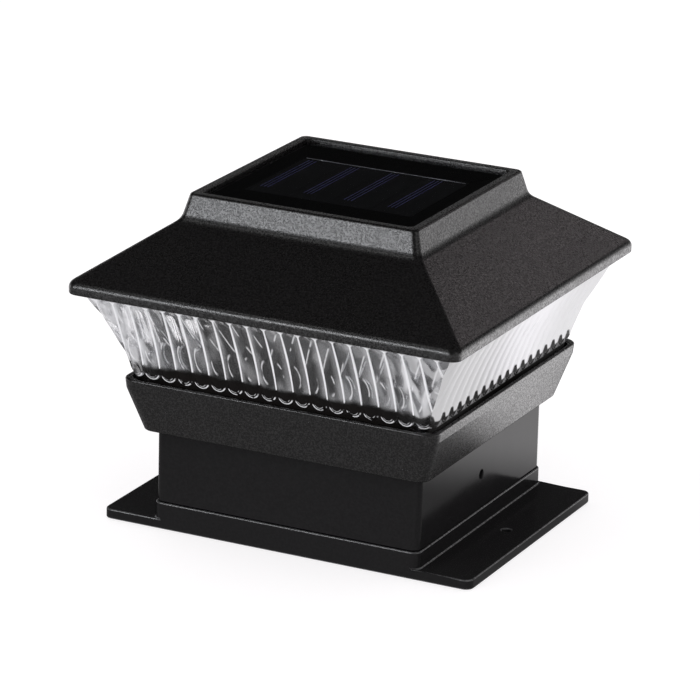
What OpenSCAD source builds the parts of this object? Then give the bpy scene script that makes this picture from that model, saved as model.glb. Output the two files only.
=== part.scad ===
// Solar cap light for a square deck post.
// X runs along the wings of the adapter plate, Z is up, and the plate's underside is Z = 0.
// The light stands in three tiers: the adapter plate, the head (skirt, tray and ribbed lens) that
// slips over it, and the roof, which lifts off with the solar panel and the lamp box under it.

/* [Post and skirt] */
// Actual width of the post that the sleeve goes over
post_w = 89; // [84:0.5:89.5]
// Outside width of the skirt
skirt_w = 100; // [99.5:0.5:104]
// Thickness of the skirt's walls
skirt_wall = 2.5; // [1.5:0.1:2.7]
// Height of the skirt from the shoulder of the adapter to the tray
skirt_h = 26.1; // [20:0.1:60]
// Outside radius of the skirt's upright corners
skirt_corner_r = 3; // [2.8:0.1:4]
// Thickness of the flange that closes the top of the skirt's walls
skirt_flange_t = 2.4; // [1.5:0.1:4]
// Width of that flange, measured in from the inside of the walls
skirt_flange_w = 10; // [8:0.5:14]
// Diameter of the screw holes in the sides of the skirt
side_hole_d = 3; // [2.4:0.1:5]
// Height of the side screw holes above the skirt's lower edge
side_hole_h = 12.1; // [5:0.1:13]

/* [Adapter plate] */
// Length of the plate over both wings
plate_w = 140; // [124:1:180]
// Thickness of the plate
plate_t = 3.5; // [2:0.1:8]
// Radius of the plate's corners, seen from above
plate_corner_r = 3; // [1:0.5:8]
// Outside width of the shoulder that carries the skirt
shoulder_w = 101; // [100:0.5:106]
// Height of the shoulder above the plate
shoulder_h = 6.1; // [3:0.1:20]
// Height of the upstand that plugs into the skirt
upstand_h = 16.4; // [14:0.1:20]
// Gap between the upstand and the inside of the skirt
upstand_gap = 0.3; // [0.1:0.05:0.5]
// Play between the post and the opening in the adapter, on each side
post_gap = 0.5; // [0.1:0.1:0.7]
// Diameter of the screw hole in each wing
wing_hole_d = 3.5; // [2.5:0.1:6]
// Diameter of the pilot holes in the upstand, behind the side holes
pilot_hole_d = 2.4; // [1.6:0.1:2.4]

/* [Tray] */
// Width of the tray at its foot
tray_base_w = 107.6; // [106:0.2:112]
// Width of the tray at the top of its slope
tray_edge_w = 117.6; // [117.4:0.1:124]
// Width of the tray at its rim
tray_rim_w = 118.4; // [118:0.1:126]
// Height of the sloping part
tray_slope_h = 15.6; // [10:0.1:30]
// Height of the rim above the slope
tray_rim_h = 3.7; // [2:0.1:8]
// Thickness of the tray's floor
tray_floor_t = 2.4; // [1.5:0.1:5]
// Thickness of the tray's sloping walls, measured level
tray_wall = 3; // [2:0.1:3.2]
// Thickness of the foam strip under the lens
gasket_t = 0.8; // [0.4:0.1:2]

/* [Lens] */
// Number of ribs across the foot of each side
rib_count = 18; // [12:2:20]
// Distance from rib to rib
rib_pitch = 6.35; // [6.3:0.01:6.4]
// Depth of the valleys between the ribs
rib_depth = 1; // [0.3:0.1:1.3]
// Width of the lens at its top edge
lens_top_w = 142.4; // [130:0.1:143]
// Height of the lens
lens_h = 35.6; // [24:0.1:60]
// Thickness of the lens under the valleys
lens_wall = 1.6; // [1.2:0.1:2.4]
// How sharply the lens flares: 1 is a straight slope
flare_power = 1.5; // [1:0.05:2.5]
// Thickness of the flange inside the foot of the lens
lens_flange_t = 2; // [1.2:0.1:4]
// Diameter of the clear bosses that take the pegs of the roof
boss_d = 7; // [6:0.1:7.2]
// Height of those bosses above the foot of the lens
boss_h = 15.1; // [12:0.1:20]
// Distance between the bosses' axes along each side
boss_spacing = 101; // [98:0.5:101.5]

/* [Roof] */
// Widest width of the roof, over the eaves
eave_w = 145.8; // [145.4:0.1:160]
// Height of the lip at the eaves
eave_h = 4.7; // [4:0.1:8]
// Height of the shallow slope above the eaves
slope_h = 18.7; // [10:0.1:40]
// Width of the roof at the foot of its neck
neck_foot_w = 90; // [88:0.5:96]
// Width of the roof at its top
neck_top_w = 85.2; // [83:0.1:90]
// Height of the neck
neck_h = 9; // [7.5:0.1:20]
// Thickness of the roof, measured square to the slope
roof_wall = 2.4; // [1.6:0.1:3]
// How far the lip hangs below the lens's top edge
eave_overlap = 1.3; // [0.5:0.1:3]
// Gap between the lip and the lens, and at other lift-off faces
lift_gap = 0.3; // [0.2:0.05:0.6]
// Diameter of the corner posts under the roof
post_d = 5.6; // [4.6:0.1:6]
// Diameter of the pegs on the ends of the corner posts
peg_d = 3.2; // [2.4:0.1:3.4]
// Length of the pegs
peg_h = 8; // [4:0.5:10]

/* [Solar panel] */
// Width of the pocket that holds the panel
pocket_w = 78.6; // [76:0.2:79]
// Depth of the panel's face below the top of the roof
panel_inset = 1.3; // [0.5:0.1:3]
// Gap round the panel in its pocket
panel_gap = 0.4; // [0.2:0.1:1]
// Thickness of the panel's backing board
backing_t = 1.4; // [0.8:0.1:2.4]
// Thickness of the clear cover over the cells
cover_t = 1.4; // [0.8:0.1:2.4]
// Thickness of the cells
cell_t = 0.3; // [0.1:0.05:0.6]
// Number of cells
cell_count = 4; // [2:1:6]
// Width of the array of cells
cells_w = 62; // [40:1:70]
// Depth of the array of cells
cells_d = 46; // [30:1:70]
// Thickness of the sealant under the panel
seal_t = 0.4; // [0.2:0.1:1]
// Thickness of the pocket's floor
pocket_floor_t = 2; // [1.2:0.1:2.6]

/* [Lamp box] */
// Outside width of the lamp box
box_w = 68; // [67:0.5:69]
// Height of the lamp box
box_h = 25; // [23:0.5:28]
// Thickness of the box's walls and floor
box_wall = 2; // [1.5:0.1:2.2]
// Width of the flange round the top of the box
box_flange_w = 82; // [80:0.5:83]
// Thickness of that flange
box_flange_t = 2; // [1.5:0.1:4]
// Distance between the screws that hold the box
box_screw_spacing = 75; // [74.5:0.1:76]
// Width of the circuit board
board_w = 60; // [58:0.5:62]
// Thickness of the circuit board
board_t = 1.6; // [0.8:0.1:2.4]
// Height of the circuit board above the floor of the box
board_lift = 4; // [3.9:0.1:8]
// Distance between the lamps
led_spacing = 40; // [32:1:42]
// Diameter of the lamps
led_d = 5; // [3:0.5:5]
// Length of the hinged battery door along its hinge
door_len = 60; // [59:0.5:62]
// Width of the battery door across its hinge
door_w = 20; // [19:0.5:22]
// Thickness of the battery door
door_t = 1.8; // [1.6:0.1:2.4]
// Travel of the switch knob
switch_travel = 3; // [2:0.5:3]

/* [Battery] */
// Diameter of the cell
battery_d = 14.3; // [13.5:0.1:14.5]
// Length of the cell over its button
battery_len = 50.3; // [49.5:0.1:50.5]
// Wire diameter of the contact spring
spring_wire_d = 0.8; // [0.5:0.1:1]

/* [Hidden] */
$fn = 48;
eps = 0.01;
over = 1;

// Heights of the tiers, from the plate up
shoulder_z = plate_t + shoulder_h;
skirt_z = shoulder_z + lift_gap;
tray_z = skirt_z + skirt_h;
ledge_z = tray_z + tray_slope_h;
tray_top_z = ledge_z + tray_rim_h;
lens_z = ledge_z + gasket_t;
lens_top_z = lens_z + lens_h;
eave_z = lens_top_z - eave_overlap;
slope_z = eave_z + eave_h;
neck_z = slope_z + slope_h;
top_z = neck_z + neck_h;

// Plan sizes that follow from the fits
skirt_in_w = skirt_w - 2 * skirt_wall;
skirt_in_r = skirt_corner_r - skirt_wall + 0.2;
upstand_w = skirt_in_w - 2 * upstand_gap;
opening_w = post_w + 2 * post_gap;
lens_foot_w = rib_count * rib_pitch;
rim_fit = 0.5;
rim_in_w = lens_foot_w + 2 * rim_fit;
lip_fit = 0.5;
lip_in_w = lens_top_w + 2 * lip_fit;
lip_round = 0.9;
lip_top_z = lens_top_z + lift_gap;
tray_screw_at = skirt_in_w / 2 - skirt_flange_w / 2;
boss_at = boss_spacing / 2;
boss_top_z = lens_z + boss_h;
boss_bore_d = peg_d + 2 * lift_gap;
wing_hole_at = (plate_w + shoulder_w) / 4;
side_hole_z = skirt_z + side_hole_h;

// Tray: width of the ledge under the gasket, and widths of the cavity at its floor and at the ledge
ledge_w = 3.15;
cavity_foot_w = tray_base_w - 2 * tray_wall
    + (tray_edge_w - tray_base_w) * tray_floor_t / tray_slope_h;
cavity_top_w = rim_in_w - 2 * ledge_w;

// Heights up the lens, as shares of it, where its curve has a ring of points
flare_rings = [0.42, 0.68];

// Reach of the cove between the roof's slope and its neck
cove = 3.5;

// The roof's slope, and the drop from its face to its underside
eave_slope_w = eave_w - 2.4;
slope_run = (eave_slope_w - neck_foot_w) / 2;
slope_tan = slope_h / slope_run;
roof_drop = roof_wall * sqrt(1 + slope_tan * slope_tan);

// The solar panel's stack, from its face down
panel_z = top_z - panel_inset;
cover_z = panel_z - cover_t;
backing_z = cover_z - backing_t;
pocket_z = backing_z - seal_t;
ceiling_z = pocket_z - pocket_floor_t;
panel_w = pocket_w - 2 * panel_gap;
panel_corner_r = 1.6;
seal_w = 5;

// The lamp box and what it holds
box_top_z = lens_top_z + 1;
box_z = box_top_z - box_h;
box_in_w = box_w - 2 * box_wall;
box_floor_z = box_z + box_wall;
box_corner_r = 4;
box_screw_at = box_screw_spacing / 2;
box_boss_d = 6.4;
board_z = box_floor_z + board_lift;
board_screw_at = board_w / 2 - 3.5;
led_at = led_spacing / 2;
led_flange_d = led_d + 0.8;
led_barrel_h = 6.2;
trough_gap = 0.6;
trough_in_d = battery_d + 2 * trough_gap;
contact_gap = 2.5;
contact_t = 0.5;
contact_w = 10;
trough_in_len = battery_len + 2 * contact_gap;
trough_wall = 1.2;
trough_top_z = box_floor_z + battery_d;
battery_z = box_floor_z + 0.4 + battery_d / 2;
door_gap = 0.3;
door_z = box_z - door_gap - door_t;
hinge_d = 3;
hinge_z = box_z - door_gap - hinge_d / 2;
pin_d = 1.2;
pin_fit = 0.05;
pin_len = 46;
hinge_y = -door_w / 2 - hinge_d / 2;
knuckle_len = 36;
lug_len = 4;
board_cut_d = trough_in_d + 2 * trough_wall + 1;
board_cut_len = trough_in_len + 2 * trough_wall + 0.2;
switch_y = 26.5;
switch_len = 9;
switch_d = 4.6;
switch_h = 3.6;
knob_d = 2;
knob_reach = 2;

// The two leads from the panel to the board
lead_d = 1.3;
lead_hole_d = 6;
lead_at = [0, -27];
lead_apart = 1.4;

// Self-tapping screws: [head diameter, head height, shank diameter, length]
screw_spec = [4.6, 1.7, 2.4, 8];
box_screw_spec = [4.6, 1.7, 2.4, 11];
board_screw_spec = [3.6, 1.4, 1.8, 5];
screw_fit = 0.1;
tip_play = 0.5;

// Pillars and bosses for the screws, with the seat of the heads inside the pillars
seat_drop = 4;
lens_screw_z = lens_z - seat_drop;
seat_d = screw_spec[0] + 0.4;
pillar_d = seat_d + 1.4;
screw_boss_d = screw_spec[2] + 3.6;
pilot_d = screw_spec[2] + 2 * screw_fit;

black_gloss = [0.09, 0.09, 0.095];
black_satin = [0.12, 0.115, 0.11];
clear_plastic = [0.85, 0.9, 0.93, 0.5];
steel = [0.7, 0.7, 0.72];

// ---------------------------------------------------------------- shared shapes

// Points of a quarter circle about [x, y], starting at angle a0
function quarter(x, y, r, a0, n) =
    [for (i = [0:n]) [x + r * cos(a0 + 90 * i / n), y + r * sin(a0 + 90 * i / n)]];

// Outline of a square with round corners, counter-clockwise
function square_ring(half, r, n) =
    concat(quarter(half - r, half - r, r, 0, n), quarter(r - half, half - r, r, 90, n),
           quarter(r - half, r - half, r, 180, n), quarter(half - r, r - half, r, 270, n));

// Triangles of the wall between ring a and ring b, each of m points, facing out from an upward stack
function wall_faces(a, b, m) =
    [for (i = [0:m - 1]) each
        [[a + i, b + i, b + (i + 1) % m], [a + i, b + (i + 1) % m, a + (i + 1) % m]]];

// A solid through rounded squares, each given as [width, corner radius, height]
module square_loft(levels, n = 5) {
    m = 4 * (n + 1);
    count = len(levels);
    points = [for (l = levels) for (p = square_ring(l[0] / 2, l[1], n)) [p[0], p[1], l[2]]];
    walls = [for (k = [0:count - 2]) each wall_faces(k * m, (k + 1) * m, m)];
    foot = [for (i = [0:m - 1]) i];
    crown = [for (i = [m - 1:-1:0]) (count - 1) * m + i];
    polyhedron(points = points, faces = concat([foot, crown], walls));
}

// A slab with round corners, lying on height z
module slab(w, d, h, r, z) {
    translate([0, 0, z])
        linear_extrude(h)
            rounded_rect(w, d, r);
}

// A rectangle with round corners made of squares and circles
module rounded_rect(w, d, r) {
    square([w, d - 2 * r], center = true);
    square([w - 2 * r, d], center = true);
    for (sx = [-1, 1], sy = [-1, 1])
        translate([sx * (w / 2 - r), sy * (d / 2 - r)])
            circle(r);
}

// Repeats its children at the four corners of a square of half width at
module four_corners(at) {
    for (sx = [-1, 1], sy = [-1, 1])
        translate([sx * at, sy * at, 0])
            children();
}

// A screw with a crossed head, its head's underside at the origin and its tip up
module screw_up(spec) {
    cross_w = spec[0] * 0.16;
    cylinder(h = spec[3], d = spec[2]);
    difference() {
        translate([0, 0, -spec[1]])
            cylinder(h = spec[1], d = spec[0]);
        for (a = [0, 90])
            rotate([0, 0, a])
                translate([-spec[0] * 0.3, -cross_w / 2, -spec[1] - over])
                    cube([spec[0] * 0.6, cross_w, over + spec[1] * 0.55]);
    }
}

// A unit vector along v
function unit(v) = v / norm(v);

// Points of an n-sided ring of radius r about point p, square to direction t
function tube_ring(p, t, r, n) =
    let (side = unit(cross(t, abs(t[1]) < 0.9 ? [0, 1, 0] : [1, 0, 0])), lift = cross(side, t))
    [for (i = [0:n - 1]) p + r * (side * cos(360 * i / n) + lift * sin(360 * i / n))];

// A tube of radius r along a path
module tube_along(path, r, n = 8) {
    last = len(path) - 1;
    dirs = [for (i = [0:last]) unit(path[min(i + 1, last)] - path[max(i - 1, 0)])];
    points = [for (i = [0:last]) each tube_ring(path[i], dirs[i], r, n)];
    walls = [for (k = [0:last - 1]) each wall_faces(k * n, (k + 1) * n, n)];
    start = [for (i = [0:n - 1]) i];
    end = [for (i = [n - 1:-1:0]) last * n + i];
    polyhedron(points = points, faces = concat([start, end], walls));
}

// ---------------------------------------------------------------- base

// Plate with two wings, a shoulder under the skirt and an upstand inside it
module adapter_base() {
    color(black_gloss)
        difference() {
            union() {
                slab(plate_w, shoulder_w, plate_t, plate_corner_r, 0);
                slab(shoulder_w, shoulder_w, shoulder_z, skirt_corner_r, 0);
                slab(upstand_w, upstand_w, upstand_h, skirt_in_r, shoulder_z);
            }
            slab(opening_w, opening_w, shoulder_z + upstand_h + 2 * over, 0.4, -over);
            for (side = [-1, 1])
                translate([side * wing_hole_at, 0, -over])
                    cylinder(h = plate_t + 2 * over, d = wing_hole_d);
            translate([0, 0, side_hole_z])
                rotate([0, 90, 0])
                    cylinder(h = upstand_w + 2 * over, d = pilot_hole_d, center = true);
        }
}

// ---------------------------------------------------------------- head

// Square sleeve over the post, with a flange at its top and a screw hole in two sides
module skirt() {
    flange_in_w = skirt_in_w - 2 * skirt_flange_w;
    color(black_gloss)
        difference() {
            slab(skirt_w, skirt_w, skirt_h, skirt_corner_r, skirt_z);
            slab(skirt_in_w, skirt_in_w, skirt_h - skirt_flange_t + over, skirt_in_r,
                 skirt_z - over);
            slab(flange_in_w, flange_in_w, skirt_flange_t + 2 * over, 3,
                 tray_z - skirt_flange_t - over);
            translate([0, 0, side_hole_z])
                rotate([0, 90, 0])
                    cylinder(h = skirt_w + 2 * over, d = side_hole_d, center = true);
            four_corners(tray_screw_at)
                translate([0, 0, tray_z - skirt_flange_t - over])
                    cylinder(h = skirt_flange_t + 2 * over, d = pilot_d);
        }
}

// Sloping tray that carries the lens on a ledge
module tray() {
    screw_reach = screw_spec[3] - skirt_flange_t;
    color(black_satin)
        difference() {
            union() {
                difference() {
                    square_loft([
                        [tray_base_w - 1.6, 3.2, tray_z], [tray_base_w, 4, tray_z + 0.8],
                        [tray_edge_w, 5, ledge_z], [tray_rim_w, 5.2, tray_top_z - 0.5],
                        [tray_rim_w - 0.8, 5, tray_top_z]]);
                    square_loft([[cavity_foot_w, 3, tray_z + tray_floor_t],
                                 [cavity_top_w, 3.4, ledge_z + eps]]);
                    slab(rim_in_w, rim_in_w, tray_rim_h + over, rib_pitch + rim_fit, ledge_z);
                }
                four_corners(boss_at)
                    translate([0, 0, tray_z + tray_floor_t / 2])
                        cylinder(h = lens_z - tray_z - tray_floor_t / 2, d = pillar_d);
                four_corners(tray_screw_at)
                    translate([0, 0, tray_z + tray_floor_t / 2])
                        cylinder(h = screw_reach + 0.4, d = screw_boss_d);
            }
            four_corners(boss_at) {
                translate([0, 0, tray_z - over])
                    cylinder(h = lens_z - tray_z + 2 * over, d = pilot_d);
                translate([0, 0, tray_z - over])
                    cylinder(h = lens_screw_z - tray_z + over, d = seat_d);
            }
            four_corners(tray_screw_at)
                translate([0, 0, tray_z - over])
                    cylinder(h = screw_reach + over + tip_play, d = pilot_d);
        }
}

// Foam strip between the tray's ledge and the lens
module lens_gasket() {
    outer_w = lens_foot_w - 0.4;
    inner_w = cavity_top_w + 0.6;
    color([0.2, 0.2, 0.2])
        difference() {
            slab(outer_w, outer_w, gasket_t, rib_pitch - 0.2, ledge_z);
            slab(inner_w, inner_w, gasket_t + 2 * over, 3.6, ledge_z - over);
        }
}

// Half width of the lens over its ribs, at a height above its foot
function lens_half(h) =
    lens_foot_w / 2 + (lens_top_w - lens_foot_w) / 2 * pow(h / lens_h, flare_power);

// Share of the full rib depth at a height: the ribs die out above the tray's rim and at the top edge
function rib_share(h) =
    let (start = tray_top_z - lens_z + 0.6)
    min(1, max(0, (h - start) / 2), max(0, (lens_h - h) / 1.5));

// One side of the ribbed outline at height h, from the near left corner to the near right one
function rib_side(h) =
    let (half = lens_half(h), deep = rib_depth * rib_share(h), last = rib_count / 2 - 1,
         bend = half - rib_pitch, arc = quarter(bend, -bend, rib_pitch, 270, 4))
    concat([[-bend, -half]],
           [for (k = [-last:last - 1]) each concat(
                k > -last ? [[k * rib_pitch, deep - half]] : [],
                [[(k + 0.25) * rib_pitch, -half], [(k + 0.75) * rib_pitch, -half]])],
           [for (i = [0:3]) arc[i]]);

// The same side without ribs, at half width half and corner radius r
function plain_side(half, r) =
    let (arc = quarter(half - r, r - half, r, 270, 4))
    concat([[r - half, -half]], [for (i = [0:3]) arc[i]]);

// Four copies of a side, turned about Z and set at height z
function all_sides(side, z) =
    [for (a = [0:90:270]) for (p = side)
        [p[0] * cos(a) - p[1] * sin(a), p[0] * sin(a) + p[1] * cos(a), z]];

// Triangles between a ribbed ring at a and a plain ring at b, with their corner points matched
function rib_bridge(a, b, m, n, flip) =
    [for (i = [0:m - 1])
        let (j = plain_match(i, m / 4, n / 4), k = plain_match(i + 1, m / 4, n / 4),
             p = a + i, q = a + (i + 1) % m)
        each concat([flip ? [q, b + j % n, p] : [p, b + j % n, q]],
                    j == k ? [] : [flip ? [b + k % n, b + j % n, q] : [q, b + j % n, b + k % n]])];

// The plain ring's point that goes with point i of the ribbed ring
function plain_match(i, m, n) =
    let (side = floor(i / m), at = i - side * m, run = m - n + 1)
    side * n + (at < run / 2 ? 0 : at <= run ? 1 : at - run + 1);

// Clear ribbed lens, flared to the eaves, with a flange inside its foot and four corner bosses
module lens() {
    flange_half = boss_at - boss_d / 2 - 0.5;
    inset = lens_wall + rib_depth;
    rim_h = tray_top_z - lens_z;
    low = lens_h * flare_rings[0];
    high = lens_h * flare_rings[1];
    heights = [0, rim_h + 0.6, rim_h + 2.6, low, high, lens_h - 1.5, lens_h];
    inner_h = [lens_h, high, low, rim_h + 1.6, lens_flange_t];
    ribbed = [for (h = heights) all_sides(rib_side(h), lens_z + h)];
    plain = concat(
        [for (h = inner_h)
            all_sides(plain_side(lens_half(h) - inset, rib_pitch - inset + 0.5), lens_z + h)],
        [for (h = [lens_flange_t, 0]) all_sides(plain_side(flange_half, 5), lens_z + h)]);
    m = len(ribbed[0]);
    n = len(plain[0]);
    top = (len(ribbed) - 1) * m;
    in = len(ribbed) * m;
    walls = [for (k = [0:len(ribbed) - 2]) each wall_faces(k * m, (k + 1) * m, m)];
    linings = [for (k = [0:len(plain) - 2]) each wall_faces(in + k * n, in + (k + 1) * n, n)];
    color(clear_plastic)
        difference() {
            union() {
                polyhedron(
                    points = concat([for (ring = ribbed) each ring], [for (ring = plain) each ring]),
                    faces = concat(walls, linings, rib_bridge(top, in, m, n, false),
                                   rib_bridge(0, in + (len(plain) - 1) * n, m, n, true)));
                four_corners(boss_at)
                    translate([0, 0, lens_z + lens_flange_t / 2])
                        cylinder(h = boss_h - lens_flange_t / 2, d = boss_d);
            }
            four_corners(boss_at) {
                translate([0, 0, boss_top_z - peg_h - tip_play])
                    cylinder(h = peg_h + tip_play + over, d = boss_bore_d);
                translate([0, 0, lens_z - over])
                    cylinder(h = screw_spec[3] - seat_drop + tip_play + over, d = pilot_d);
            }
        }
}

// Four screws up through the skirt's flange into the tray
module tray_screws() {
    color(steel)
        four_corners(tray_screw_at)
            translate([0, 0, tray_z - skirt_flange_t])
                screw_up(screw_spec);
}

// Four screws up through the tray's pillars into the lens's bosses
module lens_screws() {
    color(steel)
        four_corners(boss_at)
            translate([0, 0, lens_screw_z])
                screw_up(screw_spec);
}

// ---------------------------------------------------------------- roof

// Height of the roof's sloping face at half width h
function slope_face(h) = neck_z - (h - neck_foot_w / 2) * slope_tan;

// Outer face of the roof as a solid: lip, slope, cove and neck
module roof_skin() {
    square_loft([
        [eave_w - 1, 3.2, eave_z], [eave_w, 3.6, eave_z + 0.7],
        [eave_w, 3.6, slope_z - 1.5 * lip_round], [eave_w - 0.7, 3.4, slope_z - 0.7],
        [eave_slope_w, 3.1, slope_z],
        [neck_foot_w + 2 * cove, 2.4, slope_face(neck_foot_w / 2 + cove)],
        [neck_foot_w + 0.9 * cove, 2.3, slope_face(neck_foot_w / 2 + 0.32 * cove)],
        [neck_foot_w + 0.05 * cove, 2.3, neck_z + 0.35 * cove],
        [neck_top_w + 0.5, 2.4, top_z - 0.9], [neck_top_w - 0.2, 2.2, top_z - 0.25],
        [neck_top_w - 1, 1.9, top_z]]);
}

// Hollow under the roof, up to the floor of the panel's pocket
module roof_hollow() {
    under_w = neck_foot_w - 2 * roof_wall - 0.6;
    square_loft([
        [lip_in_w, 3.2, eave_z - over], [lip_in_w, 3.2, lip_top_z],
        [lip_in_w - 0.6, 3,
         max(lip_top_z + 0.1, slope_face(lip_in_w / 2 - 0.3) - roof_drop)],
        [under_w + 2 * cove, 2, slope_face(under_w / 2 + cove) - roof_drop],
        [under_w, 2, neck_z - roof_drop + 1], [under_w - 0.8, 2, ceiling_z]]);
}

// Roof moulding, with a pocket for the panel on top and four pegged posts below
module roof() {
    color(black_satin)
        difference() {
            union() {
                difference() {
                    roof_skin();
                    roof_hollow();
                }
                intersection() {
                    post_envelope();
                    four_corners(boss_at)
                        translate([0, 0, boss_top_z + lift_gap])
                            cylinder(h = slope_face(boss_at) - boss_top_z - lift_gap, d = post_d);
                }
                four_corners(boss_at)
                    translate([0, 0, boss_top_z + lift_gap - peg_h])
                        cylinder(h = peg_h + eps, d = peg_d);
                four_corners(box_screw_at)
                    translate([0, 0, box_top_z])
                        cylinder(h = ceiling_z - box_top_z + eps, d = box_boss_d);
            }
            slab(pocket_w, pocket_w, top_z - pocket_z + over, panel_corner_r + panel_gap, pocket_z);
            translate([lead_at[0], lead_at[1], ceiling_z - over])
                cylinder(h = pocket_floor_t + 2 * over, d = lead_hole_d);
            four_corners(box_screw_at)
                translate([0, 0, box_top_z - over])
                    cylinder(h = box_screw_spec[3] - box_flange_t + over + tip_play,
                             d = box_screw_spec[2] + 2 * screw_fit);
        }
}

// Pyramid under the middle of the roof's wall, which trims the tops of the posts
module post_envelope() {
    mid = roof_drop / 2;
    square_loft([
        [eave_w, 3, boss_top_z], [eave_w, 3, slope_face(eave_w / 2) - mid],
        [neck_foot_w - 2, 2, slope_face(neck_foot_w / 2 - 1) - mid]]);
}

// Sealant ring under the edge of the panel
module panel_seal() {
    color([0.16, 0.16, 0.17])
        difference() {
            slab(panel_w, panel_w, seal_t, panel_corner_r, pocket_z);
            slab(panel_w - 2 * seal_w, panel_w - 2 * seal_w, seal_t + 2 * over, panel_corner_r,
                 pocket_z - over);
        }
}

// Backing board of the panel
module solar_backing() {
    color([0.05, 0.05, 0.06])
        slab(panel_w, panel_w, backing_t, panel_corner_r, backing_z);
}

// Row of cells, a hair apart
module solar_cells() {
    cell_pitch = cells_w / cell_count;
    color([0.05, 0.06, 0.14])
        for (i = [0:cell_count - 1])
            translate([-cells_w / 2 + i * cell_pitch + 0.2, -cells_d / 2, cover_z])
                cube([cell_pitch - 0.4, cells_d, cell_t]);
}

// Clear cover moulded over the cells
module panel_cover() {
    color([0.3, 0.32, 0.36, 0.4])
        difference() {
            slab(panel_w, panel_w, cover_t, panel_corner_r, cover_z);
            slab(cells_w + 1, cells_d + 1, cell_t + over, 0.5, cover_z - over);
        }
}

// ---------------------------------------------------------------- lamp box

// Tub screwed under the roof: board posts, battery trough, hinge lugs and openings in its floor
module lamp_box() {
    lug_at = knuckle_len / 2 + 0.3;
    color([0.2, 0.2, 0.21])
        difference() {
            union() {
                difference() {
                    union() {
                        slab(box_w, box_w, box_h, box_corner_r, box_z);
                        slab(box_flange_w, box_flange_w, box_flange_t, box_corner_r + 1,
                             box_top_z - box_flange_t);
                    }
                    slab(box_in_w, box_in_w, box_h, box_corner_r - box_wall, box_floor_z);
                }
                four_corners(board_screw_at)
                    translate([0, 0, box_floor_z - eps])
                        cylinder(h = board_lift + eps, d = 5);
                slab(trough_in_len + 2 * trough_wall, trough_in_d + 2 * trough_wall,
                     trough_top_z - box_floor_z + eps, 0.8, box_floor_z - eps);
                for (side = [-1, 1])
                    translate([side > 0 ? lug_at : -lug_at - lug_len, hinge_y, hinge_z])
                        hinge_lug();
            }
            slab(trough_in_len, trough_in_d, box_h, 0.6, box_z - over);
            four_corners(led_at)
                translate([0, 0, box_z - over])
                    cylinder(h = box_wall + 2 * over, d = led_d + 0.4);
            translate([-(switch_travel + knob_d + 1) / 2, switch_y - knob_d / 2 - 0.4, box_z - over])
                cube([switch_travel + knob_d + 1, knob_d + 0.8, box_wall + 2 * over]);
            four_corners(box_screw_at)
                translate([0, 0, box_top_z - box_flange_t - over])
                    cylinder(h = box_flange_t + 2 * over, d = box_screw_spec[2] + 2 * screw_fit);
            four_corners(board_screw_at)
                translate([0, 0, box_floor_z])
                    cylinder(h = board_lift + over, d = board_screw_spec[2] + 2 * screw_fit);
            translate([0, hinge_y, hinge_z])
                rotate([0, 90, 0])
                    cylinder(h = pin_len + over, d = pin_d, center = true);
        }
}

// One lug of the door's hinge, hanging from the box's floor, running along X
module hinge_lug() {
    rotate([0, 90, 0])
        cylinder(h = lug_len, d = hinge_d);
    translate([0, -hinge_d / 2, 0])
        cube([lug_len, hinge_d, box_z - hinge_z + 0.5]);
}

// Four screws up through the box's flange into the roof
module box_screws() {
    color(steel)
        four_corners(box_screw_at)
            translate([0, 0, box_top_z - box_flange_t])
                screw_up(box_screw_spec);
}

// Circuit board round the battery trough
module circuit_board() {
    color([0.1, 0.35, 0.18])
        difference() {
            slab(board_w, board_w, board_t, 2, board_z);
            slab(board_cut_len, board_cut_d, board_t + 2 * over, 1, board_z - over);
            four_corners(board_screw_at)
                translate([0, 0, board_z - over])
                    cylinder(h = board_t + 2 * over, d = board_screw_spec[2] + 2 * screw_fit);
        }
}

// Four screws down through the board into its posts
module board_screws() {
    color(steel)
        four_corners(board_screw_at)
            translate([0, 0, board_z + board_t])
                rotate([180, 0, 0])
                    screw_up(board_screw_spec);
}

// Four domed lamps under the board, their domes below the box
module leds() {
    barrel_z = board_z - led_barrel_h;
    color([0.95, 0.93, 0.8, 0.8])
        four_corners(led_at) {
            translate([0, 0, barrel_z])
                cylinder(h = led_barrel_h, d = led_d);
            translate([0, 0, board_z - 1])
                cylinder(h = 1, d = led_flange_d);
            intersection() {
                translate([0, 0, barrel_z])
                    sphere(d = led_d);
                translate([-led_d, -led_d, barrel_z - led_d])
                    cube([2 * led_d, 2 * led_d, led_d]);
            }
        }
}

// Rechargeable cell lying along X, its button at +X
module battery() {
    button_len = 1.2;
    color([0.25, 0.5, 0.3])
        translate([-battery_len / 2, 0, battery_z])
            rotate([0, 90, 0]) {
                cylinder(h = battery_len - button_len, d = battery_d);
                cylinder(h = battery_len, d = 5.4);
            }
}

// Coil spring on the cell's flat end
module battery_spring() {
    turns = 3;
    steps = 12;
    start = -trough_in_len / 2 + spring_wire_d / 2 + 0.05;
    run = contact_gap - spring_wire_d - 0.1;
    path = [for (i = [0:turns * steps])
        let (a = 360 * i / steps, s = i / (turns * steps), r = 4.6 - 1.4 * s)
        [start + run * s, r * cos(a), battery_z + r * sin(a)]];
    color(steel)
        tube_along(path, spring_wire_d / 2, 6);
}

// Contact plate for the cell's button
module battery_contact() {
    color(steel)
        translate([battery_len / 2, 0, battery_z]) {
            translate([contact_gap - contact_t, -contact_w / 2, -contact_w / 2])
                cube([contact_t, contact_w, contact_w]);
            rotate([0, 90, 0])
                cylinder(h = contact_gap, d = 3);
        }
}

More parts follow.
